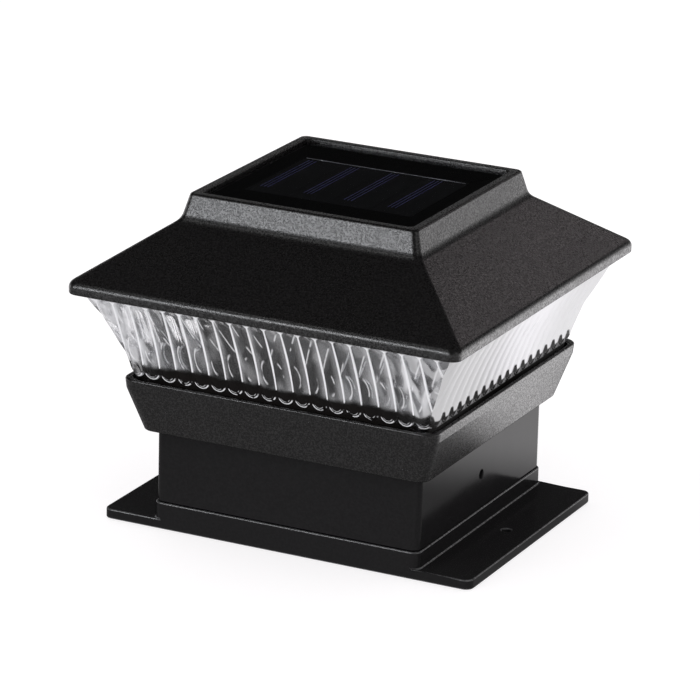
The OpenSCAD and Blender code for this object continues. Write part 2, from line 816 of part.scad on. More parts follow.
// Housing of the slide switch, under the board
module switch_body() {
    cavity_len = switch_travel + knob_d + 2.4;
    color([0.15, 0.15, 0.16])
        difference() {
            translate([-switch_len / 2, switch_y - switch_d / 2, board_z - switch_h])
                cube([switch_len, switch_d, switch_h]);
            translate([-cavity_len / 2, switch_y - 1.6, board_z - switch_h + 0.8])
                cube([cavity_len, 3.2, 1.8]);
            translate([-(switch_travel + knob_d + 0.8) / 2, switch_y - knob_d / 2 - 0.3,
                       board_z - switch_h - over])
                cube([switch_travel + knob_d + 0.8, knob_d + 0.6, 2 + over]);
        }
}

// Sliding knob of the switch, at its off end
module switch_knob() {
    x = -switch_travel / 2;
    base_z = board_z - switch_h + 1.1;
    base_h = 1.2;
    color([0.6, 0.6, 0.6]) {
        translate([x - knob_d / 2, switch_y - knob_d / 2, box_z - knob_reach])
            cube([knob_d, knob_d, base_z + base_h / 2 - box_z + knob_reach]);
        translate([x - knob_d / 2 - 0.9, switch_y - 1.3, base_z])
            cube([knob_d + 1.8, 2.6, base_h]);
    }
}

// Steel pin of the door's hinge
module door_pin() {
    color(steel)
        translate([0, hinge_y, hinge_z])
            rotate([0, 90, 0])
                cylinder(h = pin_len, d = pin_d, center = true);
}

// Door under the battery trough, with its long knuckle and a finger tab
module battery_door() {
    color([0.2, 0.2, 0.21])
        difference() {
            union() {
                slab(door_len, door_w, door_t, 1, door_z);
                translate([0, hinge_y, hinge_z])
                    rotate([0, 90, 0])
                        cylinder(h = knuckle_len, d = hinge_d, center = true);
                translate([-knuckle_len / 2, hinge_y, door_z])
                    cube([knuckle_len, hinge_d, door_t]);
                translate([-5, door_w / 2 - eps, door_z])
                    cube([10, 2, door_t]);
            }
            translate([0, hinge_y, hinge_z])
                rotate([0, 90, 0])
                    cylinder(h = knuckle_len + 2 * over, d = pin_d + 2 * pin_fit, center = true);
        }
}

// ---------------------------------------------------------------- leads

// Route of one lead, from the panel down to the board, side by side with the other
function lead_path(side) =
    let (top = pocket_z + seal_t, foot = board_z + board_t, drop = top - foot, x = side * lead_apart)
    [for (s = [0:0.05:1])
        [x + side * 2.4 * pow(sin(180 * s), 2),
         lead_at[1] + 3 * pow(sin(180 * s), 2) * cos(180 * s),
         top - drop * s]];

// Red lead from the panel to the board
module panel_lead_red() {
    color([0.7, 0.08, 0.06])
        tube_along(lead_path(1), lead_d / 2);
}

// Black lead from the panel to the board
module panel_lead_black() {
    color([0.05, 0.05, 0.05])
        tube_along(lead_path(-1), lead_d / 2);
}

adapter_base();
skirt();
tray();
lens_gasket();
lens();
tray_screws();
lens_screws();
roof();
panel_seal();
solar_backing();
solar_cells();
panel_cover();
lamp_box();
box_screws();
circuit_board();
board_screws();
leds();
battery();
battery_spring();
battery_contact();
switch_body();
switch_knob();
door_pin();
battery_door();
panel_lead_red();
panel_lead_black();
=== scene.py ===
"""Scene for a square solar post cap light: fine meshes, finishes, stage, lights and camera."""
import logging
import math
from collections.abc import Iterable, Sequence
from dataclasses import dataclass, field
from enum import Enum
from typing import Any

import bmesh
import bpy
from mathutils import Matrix, Vector


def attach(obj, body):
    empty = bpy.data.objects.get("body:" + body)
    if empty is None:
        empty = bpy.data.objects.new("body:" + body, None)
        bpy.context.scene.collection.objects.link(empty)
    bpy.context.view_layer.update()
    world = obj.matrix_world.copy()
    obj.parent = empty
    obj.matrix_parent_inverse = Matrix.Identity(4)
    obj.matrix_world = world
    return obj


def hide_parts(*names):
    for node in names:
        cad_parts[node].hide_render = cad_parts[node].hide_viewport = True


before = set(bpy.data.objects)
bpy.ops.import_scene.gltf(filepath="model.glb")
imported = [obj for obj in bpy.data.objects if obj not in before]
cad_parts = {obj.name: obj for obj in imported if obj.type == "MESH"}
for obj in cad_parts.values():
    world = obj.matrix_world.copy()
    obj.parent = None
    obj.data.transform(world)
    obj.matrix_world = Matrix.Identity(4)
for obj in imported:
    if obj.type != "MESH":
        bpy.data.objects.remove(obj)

LOG = logging.getLogger("post_cap_light")
MM = 0.001
IMAGE_PX = 700
SENSOR_MM = 36.0
MERGE_MM = 1e-4
WELD_M = 2e-6
FLAT_DEG = 1.0
SHARP_DEG = 30.0
EDGE_STEPS = 3

Pair = tuple[float, float]
Triple = tuple[float, float, float]
Colour = Triple
Outline = list[Vector]


# ---------------------------------------------------------------- shader maths


class Sock:
    """A node's output that takes part in Python arithmetic."""

    def __init__(self, graph: "Graph", socket: bpy.types.NodeSocket) -> None:
        """Wraps an output socket of one of the graph's nodes."""
        self.graph = graph
        self.socket = socket

    def _math(self, operation: str, *values: Any) -> "Sock":
        """Adds a Math node for an operation on values and returns its result."""
        return self.graph.node("ShaderNodeMath", dict(enumerate(values)), operation=operation)[0]

    def __add__(self, other: Any) -> "Sock":
        """Returns self + other."""
        return self._math("ADD", self, other)

    def __radd__(self, other: Any) -> "Sock":
        """Returns other + self."""
        return self._math("ADD", other, self)

    def __sub__(self, other: Any) -> "Sock":
        """Returns self - other."""
        return self._math("SUBTRACT", self, other)

    def __rsub__(self, other: Any) -> "Sock":
        """Returns other - self."""
        return self._math("SUBTRACT", other, self)

    def __mul__(self, other: Any) -> "Sock":
        """Returns self * other."""
        return self._math("MULTIPLY", self, other)

    def __rmul__(self, other: Any) -> "Sock":
        """Returns other * self."""
        return self._math("MULTIPLY", other, self)

    def peak(self, other: Any) -> "Sock":
        """Returns the larger of self and other."""
        return self._math("MAXIMUM", self, other)

    def least(self, other: Any) -> "Sock":
        """Returns the smaller of self and other."""
        return self._math("MINIMUM", self, other)

    def size(self) -> "Sock":
        """Returns the value without its sign."""
        return self._math("ABSOLUTE", self)

    def root(self) -> "Sock":
        """Returns the square root of the value."""
        return self._math("SQRT", self)

    def part(self) -> "Sock":
        """Returns the value less the whole number below it."""
        return self._math("FRACT", self)

    def sign(self) -> "Sock":
        """Returns 1 for a value above 0 and -1 for one below."""
        return self._math("SIGN", self)

    def wave(self) -> "Sock":
        """Returns the sine of the value."""
        return self._math("SINE", self)

    def step(self, low: float, high: float) -> "Sock":
        """Rises smoothly from 0 at low to 1 at high.

        Args:
            low: Value at which the rise starts.
            high: Value at which it ends. It may be below low, which turns the rise round.

        Returns:
            The share, from 0 to 1.
        """
        turned = high < low
        share = self.graph.node("ShaderNodeMapRange", {
            "Value": self, "From Min": min(low, high), "From Max": max(low, high),
        }, interpolation_type="SMOOTHSTEP")["Result"]
        return 1 - share if turned else share


class Outputs:
    """The outputs of one node, by name or place."""

    def __init__(self, graph: "Graph", node: bpy.types.Node) -> None:
        """Wraps one of the graph's nodes."""
        self.graph = graph
        self.raw = node

    def __getitem__(self, key: int | str) -> Sock:
        """Returns one output as a value for arithmetic."""
        return Sock(self.graph, self.raw.outputs[key])


class Graph:
    """A node tree that is built from Python expressions."""

    def __init__(self, tree: bpy.types.NodeTree) -> None:
        """Empties a node tree and takes it over."""
        self.tree = tree
        tree.nodes.clear()

    def node(self, kind: str, inputs: dict[int | str, Any] | None = None,
             **settings: str) -> Outputs:
        """Adds a node.

        Args:
            kind: The node's type name.
            inputs: Values or links of its sockets, by name or place.
            settings: Its properties, set first.

        Returns:
            The node's outputs.
        """
        node = self.tree.nodes.new(kind)
        for name, value in settings.items():
            setattr(node, name, value)
        for key, value in (inputs or {}).items():
            socket = node.inputs[key]
            if isinstance(value, Sock):
                self.tree.links.new(value.socket, socket)
            elif socket.type == "RGBA" and len(value) == 3:
                socket.default_value = (*value, 1.0)
            else:
                socket.default_value = value
        return Outputs(self, node)

    def place(self) -> Sock:
        """Returns the position on the object, in metres, which stays with it as it moves."""
        return self.node("ShaderNodeTexCoord")["Object"]

    def axes(self, vector: Sock) -> tuple[Sock, Sock, Sock]:
        """Returns the three parts of a vector."""
        parts = self.node("ShaderNodeSeparateXYZ", {0: vector})
        return parts[0], parts[1], parts[2]

    def noise(self, size_mm: float, detail: float = 2.0, roughness: float = 0.5,
              stretch: Sequence[float] = (1.0, 1.0, 1.0)) -> Sock:
        """Adds soft noise.

        Args:
            size_mm: Size of its blotches.
            detail: Number of finer layers.
            roughness: Strength of the finer layers.
            stretch: Factors on the three axes.

        Returns:
            The noise, about 0.5 in the middle.
        """
        place = self.node("ShaderNodeVectorMath", {0: self.place(), 1: tuple(stretch)},
                          operation="MULTIPLY")["Vector"]
        return self.node("ShaderNodeTexNoise", {
            "Vector": place, "Scale": 1.0 / (size_mm * MM), "Detail": detail,
            "Roughness": roughness})[0]

    def blend(self, share: Any, first: Any, second: Any) -> Sock:
        """Mixes two colours.

        Args:
            share: Share of the second colour.
            first: Colour at 0.
            second: Colour at 1.

        Returns:
            The mixed colour.
        """
        return self.node("ShaderNodeMix", {0: share, 6: first, 7: second}, data_type="RGBA")[2]

    def bump(self, height: Sock, depth_mm: float = 1.0) -> Sock:
        """Returns a normal for a height, of which 1 stands for depth_mm."""
        return self.node("ShaderNodeBump", {
            "Height": height, "Distance": depth_mm * MM, "Strength": 1.0})["Normal"]

    def principled(self, inputs: dict[str, Any]) -> Sock:
        """Returns a Principled shader with the given inputs."""
        return self.node("ShaderNodeBsdfPrincipled", inputs)[0]

    def matt(self, colour: Any, **inputs: Sock) -> Sock:
        """Returns a Diffuse shader of a colour."""
        return self.node("ShaderNodeBsdfDiffuse", {"Color": colour, **inputs})[0]

    def layer(self, share: Any, under: Sock, upper: Sock) -> Sock:
        """Returns a shader with a share of the upper one over the one under it."""
        return self.node("ShaderNodeMixShader", {0: share, 1: under, 2: upper})[0]

    def facing(self, **inputs: Sock) -> Sock:
        """Returns how far the surface turns away from the ray, from 0 to 1."""
        return self.node("ShaderNodeLayerWeight", {"Blend": 0.5, **inputs})["Facing"]


# ---------------------------------------------------------------- finishes


@dataclass(frozen=True)
class Finish:
    """A finish of one of the record's material slots."""

    name: str
    slot: str

    def surface(self, graph: Graph) -> dict[str, Any]:
        """Returns the inputs of the main shader."""
        return {}

    def shader(self, graph: Graph) -> Sock:
        """Returns the whole shader."""
        return graph.principled(self.surface(graph))

    def material(self) -> bpy.types.Material:
        """Makes the finish's material the first time it is asked for.

        Returns:
            The material.
        """
        label = f"{self.name}_finish"
        made = bpy.data.materials.get(label)
        if made is None:
            made = bpy.data.materials.new(label)
            made.use_nodes = True
            graph = Graph(made.node_tree)
            graph.node("ShaderNodeOutputMaterial", {"Surface": self.shader(graph)})
        return made


@dataclass(frozen=True)
class Moulded(Finish):
    """Moulded plastic, with grain from its mould and slight waves from cooling."""

    colour: Colour
    roughness: float
    specular: float = 0.5
    grain_mm: float = 0.45
    grain_depth_mm: float = 0.03
    wave_depth_mm: float = 0.0
    speckle: float = 0.25
    coat: float = 0.0
    glints: float = 0.0
    cloud_mm: float = 22.0
    wave_mm: float = 14.0
    grain_roughness: float = 0.12
    cloud_roughness: float = 0.1
    glancing: Pair = (0.715, 0.79)

    def surface(self, graph: Graph) -> dict[str, Any]:
        """Grains the plastic, with slight waves where wave_depth_mm isn't 0.

        Args:
            graph: The graph of its material.

        Returns:
            The inputs of the main shader.
        """
        grain = graph.noise(self.grain_mm, 3.0, 0.65)
        cloud = graph.noise(self.cloud_mm)
        dark, light = (tuple(c * (1 + turn * self.speckle) for c in self.colour)
                       for turn in (-1, 1))
        height = grain * self.grain_depth_mm
        if self.wave_depth_mm:
            height = height + graph.noise(self.wave_mm, 1.0) * self.wave_depth_mm
        return {
            "Base Color": graph.blend(grain.step(0.3, 0.7), dark, light),
            "Roughness": (self.roughness + (cloud - 0.5) * self.cloud_roughness
                          + (grain - 0.5) * self.grain_roughness),
            "Specular IOR Level": self.specular,
            "Coat Weight": grain.step(0.45, 0.6) * self.glints if self.glints else self.coat,
            "Coat Roughness": self.roughness,
            "Normal": graph.bump(height),
        }

    def shader(self, graph: Graph) -> Sock:
        """Hides the glints of coarse grain behind each other at a glancing angle.

        Args:
            graph: The graph of its material.

        Returns:
            The shader.
        """
        body = super().shader(graph)
        if not self.glints:
            return body
        return graph.layer(graph.facing().step(*self.glancing), body, graph.matt(self.colour))


@dataclass(frozen=True)
class Clear(Finish):
    """Clear moulded plastic or resin, which lets the lamps' light through."""

    colour: Colour
    ior: float = 1.49
    roughness: float = 0.03
    wave_mm: float = 5.0
    wave_depth_mm: float = 0.05
    shade: float = 0.9
    haze_mm: float = 9.0

    def surface(self, graph: Graph) -> dict[str, Any]:
        """Makes a clear surface with slight waves.

        Args:
            graph: The graph of its material.

        Returns:
            The inputs of the main shader.
        """
        haze = graph.noise(self.haze_mm, 3.0)
        return {
            "Base Color": self.colour,
            "Roughness": self.roughness + (haze - 0.5) * self.roughness,
            "IOR": self.ior,
            "Transmission Weight": 1.0,
            "Normal": graph.bump(graph.noise(self.wave_mm), self.wave_depth_mm),
        }

    def shader(self, graph: Graph) -> Sock:
        """Lets the clear plastic cast only a faint shadow.

        Args:
            graph: The graph of its material.

        Returns:
            The shader.
        """
        thin = graph.node("ShaderNodeBsdfTransparent",
                          {"Color": tuple(c * self.shade for c in self.colour)})[0]
        shadow = graph.node("ShaderNodeLightPath")["Is Shadow Ray"]
        return graph.layer(shadow, super().shader(graph), thin)


@dataclass(frozen=True)
class Ribs:
    """The flutes of the lens's sides, each with round ends, in millimetres.

    Their valleys lie in upright planes a pitch apart, the first through the middle of each side.
    """

    pitch: float = 6.35
    depth: float = 1.0
    foot: float = 55.8
    top: float = 85.9
    arch: float = 0.6
    groove: float = 0.4
    # band_top down to rag_depth shape the band of painted shade at the lens's foot.
    band_top: float = 61.6
    side_band_top: float = 59.9
    tooth: float = 1.0
    rag_mm: float = 7.0
    rag_depth: float = 5.0

    @property
    def reach(self) -> float:
        """Returns half a rib's width."""
        return self.pitch / 2

    def from_axis(self, x: float, z: float) -> float:
        """Returns how far a point lies from its rib's axis, or from the centre of its round end.

        Args:
            x: Distance along the side from its middle.
            z: Height.

        Returns:
            The distance, at most half a rib's width.
        """
        off = abs((x / self.pitch) % 1.0 - 0.5) * self.pitch
        below = max(0.0, self.foot + self.reach - z)
        above = max(0.0, z - self.top + self.reach * self.arch) / self.arch
        return min(math.hypot(off, max(below, above)), self.reach)


class Flank:
    """The shaded point's place on the lens, in millimetres, and masks that follow from it.

    side is 1 on the two sides and 0 on the front and back, along runs along either from its
    middle, off runs over a rib from -1 to 1, and over is the height over the band of painted
    shade at the foot, which is ragged on the front and back, and lower and toothed on the sides.
    """

    def __init__(self, graph: Graph, ribs: Ribs) -> None:
        """Adds the nodes that find the place.

        Args:
            graph: The graph of the lens's material.
            ribs: The lens's ribs.
        """
        self.x, self.y, self.z = (part * (1 / MM) for part in graph.axes(graph.place()))
        self.along = self.x.size().least(self.y.size())
        self.side = (self.x.size() - self.y.size()).step(-0.5, 0.5)
        self.off = ((self.along * (1 / ribs.pitch)).part() - 0.5) * 2
        tooth = (self.off.size().step(0.3, 0.7) * 2 - 1) * ribs.tooth
        drop = ribs.band_top - ribs.side_band_top - tooth
        rags = (graph.noise(ribs.rag_mm) - 0.5) * ribs.rag_depth
        self.over = self.z - ribs.band_top + drop * self.side + rags * (1 - self.side)


@dataclass(frozen=True)
class Marks:
    """Bright marks that stand in for refracted light in the ribs, in millimetres.

    A line is a row of its distance inside the rib's edge, its half width where it fades out and
    where it is full, and its strength. A strength is a share from 0 to 1.
    """

    waist_z: float = 75.0
    waist_taper: float = 0.014
    band_strength: float = 0.35
    end_lines: tuple[tuple[float, float, float, float], ...] = (
        (0.55, 0.3, 0.12, 1.0), (1.35, 0.2, 0.05, 0.6))
    end_reach: Pair = (2.6, 1.8)
    end_strength_side: float = 0.3
    streak_z: float = 74.0
    streak_drop: float = 0.09
    streak_lean: float = 0.42
    streak_inset: float = 0.3
    ring_z: float = 67.5
    ring_off: float = -0.9
    ring_size: Pair = (1.7, 4.4)
    strength: float = 0.62


@dataclass(frozen=True)
class Ribbed(Clear):
    """The lens's plastic: painted light in the valleys of its ribs, painted shade where the tray
    grips it.

    The strengths of the painted haze of light are its least, beside a rib's crest, in clouds and
    toward the ends of a side. Those of sheen are in the band of painted shade and what is added
    over it. _ends are the distances from a side's middle over which a thing sets in.
    """

    ribs: Ribs = Ribs()
    marks: Marks = Marks()
    grooved: bool = True
    # The next two colours paint shade into a band at the lens's foot.
    painted_shade_tint: Colour = (0.02, 0.02, 0.021)
    painted_shade_colour: Colour = (0.011, 0.0095, 0.009)
    # Colour of the painted haze of light in the ribs' bodies.
    painted_light_colour: Colour = (0.95, 0.95, 0.97)
    sheen_colour: Colour = (0.62, 0.62, 0.635)
    sheen_end_colour: Colour = (0.99, 0.99, 1.0)
    # Colour of the painted bright lines.
    painted_line_colour: Colour = (0.92, 0.92, 0.94)
    # Strengths and ends of the painted haze of light.
    painted_light_parts: tuple[float, float, float, float] = (0.03, 0.2, 0.16, 0.38)
    painted_light_ends: Pair = (36.0, 54.0)
    sheen_from: Pair = (0.45, 0.66)
    sheen_parts: Pair = (0.12, 0.86)
    sheen_roughness: float = 0.3
    sheen_end: float = 0.7
    sheen_ends: Pair = (4.0, 42.0)
    # Strength of the band of painted shade, and the share of it taken off toward the corners.
    band_strength: float = 0.75
    band_end: float = 0.8
    clear_ends: Pair = (42.0, 52.0)
    painted_line_roughness: float = 0.25
    lean: float = -0.33
    own_normal: float = 0.68

    def surface(self, graph: Graph) -> dict[str, Any]:
        """Paints shade into the clear plastic's colour in a band at its foot, away from the
        corners.

        Args:
            graph: The graph of its material.

        Returns:
            The inputs of the main shader.
        """
        at = Flank(graph, self.ribs)
        # The base colour darkens in a band at the foot: painted shade.
        clear = at.over.step(-1.2, 1.4).peak(at.along.step(*self.clear_ends) * self.band_end)
        return {**super().surface(graph),
                "Base Color": graph.blend(clear, self.painted_shade_tint, self.colour)}

    def painted_lines(self, graph: Graph, at: Flank) -> Sock:
        """Masks the painted bright lines in the valleys, round the ribs' ends and in the ribs.

        Args:
            graph: The graph of the lens's material.
            at: The place that is shaded.

        Returns:
            The mask, which is 1 on a line.
        """
        ribs, marks = self.ribs, self.marks
        off = at.off * ribs.reach
        below = (ribs.foot + ribs.reach - at.z).peak(0)
        above = (at.z - (ribs.top - ribs.reach * ribs.arch)).peak(0) * (1 / ribs.arch)
        short = below.peak(above)
        edge = ribs.reach - (off * off + short * short).root()
        taper = (at.z - marks.waist_z).size() * marks.waist_taper
        valley = (edge + taper).step(ribs.groove + 0.12, ribs.groove - 0.06)
        valley = valley * at.over.step(-0.3, 0.3).peak(at.side * marks.band_strength)
        valley = valley * at.z.step(ribs.top, ribs.top - 1.2)
        valley = valley * at.z.step(ribs.foot + 0.2, ribs.foot + 0.8)
        first, second = ((edge - inset).size().step(fade, full) * strength
                         for inset, fade, full, strength in marks.end_lines)
        far, near = marks.end_reach
        end = first.peak(second) * at.z.step(ribs.foot + far, ribs.foot + near)
        end = end * graph.noise(2.4, 1.0).step(0.38, 0.48)
        end = end * (1 - at.side * (1 - marks.end_strength_side))
        return valley.peak(end).peak(self.inner_marks(graph, at, off) * marks.strength)

    def inner_marks(self, graph: Graph, at: Flank, off: Sock) -> Sock:
        """Masks the painted light of the slanted streak and the oval ring in each rib, in patches.

        Args:
            graph: The graph of the lens's material.
            at: The place that is shaded.
            off: Distance from the rib's middle, in millimetres.

        Returns:
            The mask, which is 1 on a mark.
        """
        marks = self.marks
        rise = at.z - (marks.streak_z - at.along * marks.streak_drop)
        slant = off + self.ribs.reach - marks.streak_inset - rise * marks.streak_lean
        streak = slant.size().step(0.42, 0.1) * rise.step(-1, 2)
        wide, high = marks.ring_size
        low = (off - marks.ring_off) * (1 / wide)
        tall = (at.z - marks.ring_z) * (1 / high)
        ring = ((low * low + tall * tall).root() - 1).size().step(0.2, 0.04) * low.step(-0.2, 0.6)
        return streak.peak(ring) * graph.noise(4.0, 1.0, 0.5, (1.0, 1.0, 0.6)).step(0.42, 0.55)

    def plain_normals(self, graph: Graph, at: Flank) -> list[Sock]:
        """Finds the normals of a lens side as if it had no ribs.

        Args:
            graph: The graph of the lens's material.
            at: The place that is shaded.

        Returns:
            The plain normal, and one between it and the ribs' own.
        """
        plain = graph.node("ShaderNodeCombineXYZ", {
            0: at.side * at.x.sign(), 1: (1 - at.side) * at.y.sign(), 2: self.lean})["Vector"]
        own = graph.node("ShaderNodeNewGeometry")["Normal"]
        soft = graph.node("ShaderNodeMix", {0: self.own_normal, 4: plain, 5: own},
                          data_type="VECTOR")[1]
        return [graph.node("ShaderNodeVectorMath", {0: v}, operation="NORMALIZE")["Vector"]
                for v in (plain, soft)]

    def shader(self, graph: Graph) -> Sock:
        """Adds a painted haze of light, a pale sheen at a glancing angle, a band of painted shade
        and painted bright lines.

        Args:
            graph: The graph of its material.

        Returns:
            The shader.
        """
        body = super().shader(graph)
        if not self.grooved:
            return body
        at = Flank(graph, self.ribs)
        plain, soft = self.plain_normals(graph, at)
        lit = at.over.step(-1.0, 1.2) * (1 - at.side) + at.over.step(-0.3, 0.5) * at.side
        ends = at.along.step(*self.painted_light_ends)
        cloud = graph.noise(6.0, 1.0, 0.5, (1.0, 1.0, 0.35)).step(0.45, 0.7)
        strands = graph.noise(2.8, 0.0, 0.5, (1.0, 1.0, 0.05)).step(0.36, 0.58)
        least, beside, clouded, toward = self.painted_light_parts
        # haze is painted light in the ribs' bodies: lighter on one side of each rib, in clouds, and
        # in strands toward a side's ends.
        haze = least + beside * (at.off - 0.1).step(0.0, 0.9) + clouded * cloud
        body = graph.layer((haze + toward * ends * strands) * lit, body,
                           graph.matt(self.painted_light_colour))
        sheen = graph.node("ShaderNodeBsdfAnisotropic", {
            "Color": self.sheen_colour, "Roughness": self.sheen_roughness, "Normal": soft})[0]
        # Toward a side's ends the sheen turns into a matt white: a painted sheen.
        sheen = graph.layer(at.along.step(*self.sheen_ends) * self.sheen_end, sheen,
                            graph.matt(self.sheen_end_colour, Normal=soft))
        turned = graph.facing(Normal=plain).step(*self.sheen_from)
        least, added = self.sheen_parts
        body = graph.layer(turned * (least + added * lit), body, sheen)
        # A matt dark layer over the band at the foot: painted shade.
        band = self.band_strength * (1 - lit) * (1 - self.band_end * ends * (1 - at.side))
        body = graph.layer(band, body, graph.matt(self.painted_shade_colour))
        # The bright lines are painted light.
        bright = graph.principled({"Base Color": self.painted_line_colour,
                                   "Roughness": self.painted_line_roughness})
        return graph.layer(self.painted_lines(graph, at), body, bright)


@dataclass(frozen=True)
class Metal(Finish):
    """Bare or plated metal with fine scratches."""

    colour: Colour
    roughness: float = 0.3

    def surface(self, graph: Graph) -> dict[str, Any]:
        """Scratches and stains the metal.

        Args:
            graph: The graph of its material.

        Returns:
            The inputs of the main shader.
        """
        scratch = graph.noise(0.12, 2.0, 0.6, (1.0, 1.0, 0.1))
        stain = graph.noise(2.5)
        dull = tuple(c * 0.8 for c in self.colour)
        return {
            "Base Color": graph.blend(stain.step(0.35, 0.65), dull, self.colour),
            "Metallic": 1.0,
            "Roughness": self.roughness + (stain - 0.5) * 0.15 + (scratch - 0.5) * 0.15,
            "Normal": graph.bump(scratch, 0.006),
        }


@dataclass(frozen=True)
class Silicon(Finish):
    """Dark silicon, in large crystals of slightly different blue."""

    colour: Colour
    tint: Colour
    crystal_mm: float = 6.0
    roughness: float = 0.1
    specular: float = 0.03

    def surface(self, graph: Graph) -> dict[str, Any]:
        """Tints the silicon by its crystals.

        Args:
            graph: The graph of its material.

        Returns:
            The inputs of the main shader.
        """
        crystals = graph.node("ShaderNodeTexVoronoi", {
            "Vector": graph.place(), "Scale": 1.0 / (self.crystal_mm * MM)}, feature="F1")
        shade = graph.axes(crystals["Color"])[0]
        return {
            "Base Color": graph.blend(shade, self.colour, self.tint),
            "Roughness": self.roughness + shade * 0.04,
            "Specular IOR Level": self.specular,
            "Normal": graph.bump(graph.noise(0.3), 0.004),
        }


@dataclass(frozen=True)
class SolderMask(Finish):
    """Circuit board: green mask over a comb of copper tracks."""

    colour: Colour
    track: Colour
    pitch_mm: float = 2.54
    roughness: float = 0.3

    def surface(self, graph: Graph) -> dict[str, Any]:
        """Draws the tracks under the mask.

        Args:
            graph: The graph of its material.

        Returns:
            The inputs of the main shader.
        """
        x, y, _ = graph.axes(graph.place())
        bend = graph.noise(9.0, 0.0)
        turn = 2 * math.pi / (self.pitch_mm * MM)
        along = (x * turn + bend.step(0.4, 0.6) * math.pi).wave()
        across = (y * turn).wave()
        tracks = along.peak(across).step(0.75, 0.9)
        return {
            "Base Color": graph.blend(tracks, self.colour, self.track),
            "Roughness": self.roughness + graph.noise(1.5) * 0.1,
            "Normal": graph.bump(tracks, 0.03),
        }


@dataclass(frozen=True)
class Sleeve(Finish):
    """Shrink sleeve of the cell, with a plain band toward its button."""

    colour: Colour
    band: Colour
    band_x_mm: float = 12.0
    roughness: float = 0.28

    def surface(self, graph: Graph) -> dict[str, Any]:
        """Prints the band on the sleeve.

        Args:
            graph: The graph of its material.

        Returns:
            The inputs of the main shader.
        """
        x, _, _ = graph.axes(graph.place())
        band = x.step(self.band_x_mm * MM, (self.band_x_mm + 0.2) * MM)
        crease = graph.noise(3.0, 3.0, 0.6, (0.3, 1.0, 1.0))
        return {
            "Base Color": graph.blend(band, self.colour, self.band),
            "Roughness": self.roughness + crease * 0.1,
            "Normal": graph.bump(crease, 0.05),
        }


class Finishes(Enum):
    """Every finish of the light, by the material slot that it belongs to."""

    GLOSS = Moulded("gloss_black", "black_gloss_plastic", (0.0122, 0.0118, 0.0123), 0.14,
                    specular=0.18, grain_mm=0.9, grain_depth_mm=0.0012, wave_depth_mm=0.05,
                    speckle=0.12)
    # A lighter colour for the adapter's rounded edges: a painted highlight.
    EDGE_HIGHLIGHT = Moulded("painted_edge_highlight", "black_gloss_plastic", (0.06, 0.06, 0.062), 0.25,
                         specular=0.7, grain_mm=1.2, grain_depth_mm=0.01, speckle=0.5, coat=0.5)
    TEXTURED = Moulded("textured_black", "black_textured_plastic", (0.0048, 0.0042, 0.0044), 0.28,
                       specular=0.65, grain_mm=0.62, grain_depth_mm=0.1, speckle=0.6, glints=1.0)
    LENS = Ribbed("lens_ribbed", "clear_lens", (0.975, 0.975, 0.985), roughness=0.02,
                  wave_depth_mm=0.03)
    LINING = Ribbed("lens_lining", "clear_lens", (0.975, 0.975, 0.985), roughness=0.02,
                    wave_depth_mm=0.03, grooved=False)
    FOAM = Moulded("foam", "gasket_foam", (0.02, 0.02, 0.02), 0.8, 0.2, 0.6, 0.1, speckle=0.4)
    STEEL = Metal("zinc_steel", "screw_steel", (0.66, 0.66, 0.68))
    BACKING = Moulded("panel_laminate", "panel_backing", (0.002, 0.002, 0.0021), 0.3, 0.02,
                      grain_mm=0.3, grain_depth_mm=0.004)
    SILICON = Silicon("silicon", "solar_cell", (0.0004, 0.0004, 0.0006), (0.0006, 0.0007, 0.0011))
    FINGER = Moulded("collector", "solar_cell", (0.1, 0.105, 0.3), 0.4, 0.2, speckle=0.1)
    RIBBON = Metal("bus_ribbon", "solar_cell", (0.85, 0.85, 0.87), 0.5)
    RESIN = Clear("panel_resin", "panel_resin", (0.86, 0.87, 0.9), 1.13, 0.012, 16.0, 0.03)
    BOX = Moulded("box_grey", "grey_box_plastic", (0.035, 0.035, 0.036), 0.4, grain_mm=0.6,
                  grain_depth_mm=0.012, speckle=0.06)
    BOARD = SolderMask("solder_mask", "circuit_board", (0.012, 0.11, 0.035), (0.03, 0.2, 0.07))
    CHIP = Moulded("chip_black", "circuit_board", (0.015, 0.015, 0.016), 0.45, grain_depth_mm=0.008)
    CERAMIC = Moulded("ceramic_tan", "circuit_board", (0.45, 0.33, 0.2), 0.5, grain_depth_mm=0.008)
    SOLDER = Metal("solder", "circuit_board", (0.7, 0.7, 0.72), 0.25)
    EPOXY = Clear("led_epoxy", "led_epoxy", (0.97, 0.96, 0.9), 1.53, 0.02, 2.0, 0.01)
    PHOSPHOR = Moulded("phosphor", "led_epoxy", (0.75, 0.6, 0.1), 0.6, grain_depth_mm=0.01)
    SLEEVE = Sleeve("cell_sleeve", "battery_sleeve", (0.02, 0.17, 0.06), (0.5, 0.5, 0.48))
    NICKEL = Metal("nickel", "contact_nickel", (0.66, 0.64, 0.6), 0.22)
    SWITCH = Moulded("switch_black", "switch_plastic", (0.02, 0.02, 0.021), 0.4,
                     grain_depth_mm=0.01)
    LEAD_RED = Moulded("lead_red", "lead_red", (0.42, 0.015, 0.01), 0.35, grain_depth_mm=0.004)
    LEAD_BLACK = Moulded("lead_black", "lead_black", (0.01, 0.01, 0.01), 0.35, grain_depth_mm=0.004)


# ---------------------------------------------------------------- meshes


@dataclass(frozen=True)
class Bend:
    """A corner of a section: half width, height, rounding in the section and in plan, in mm."""

    half: float
    z: float
    fillet: float = 0.0
    plan: float = 3.0


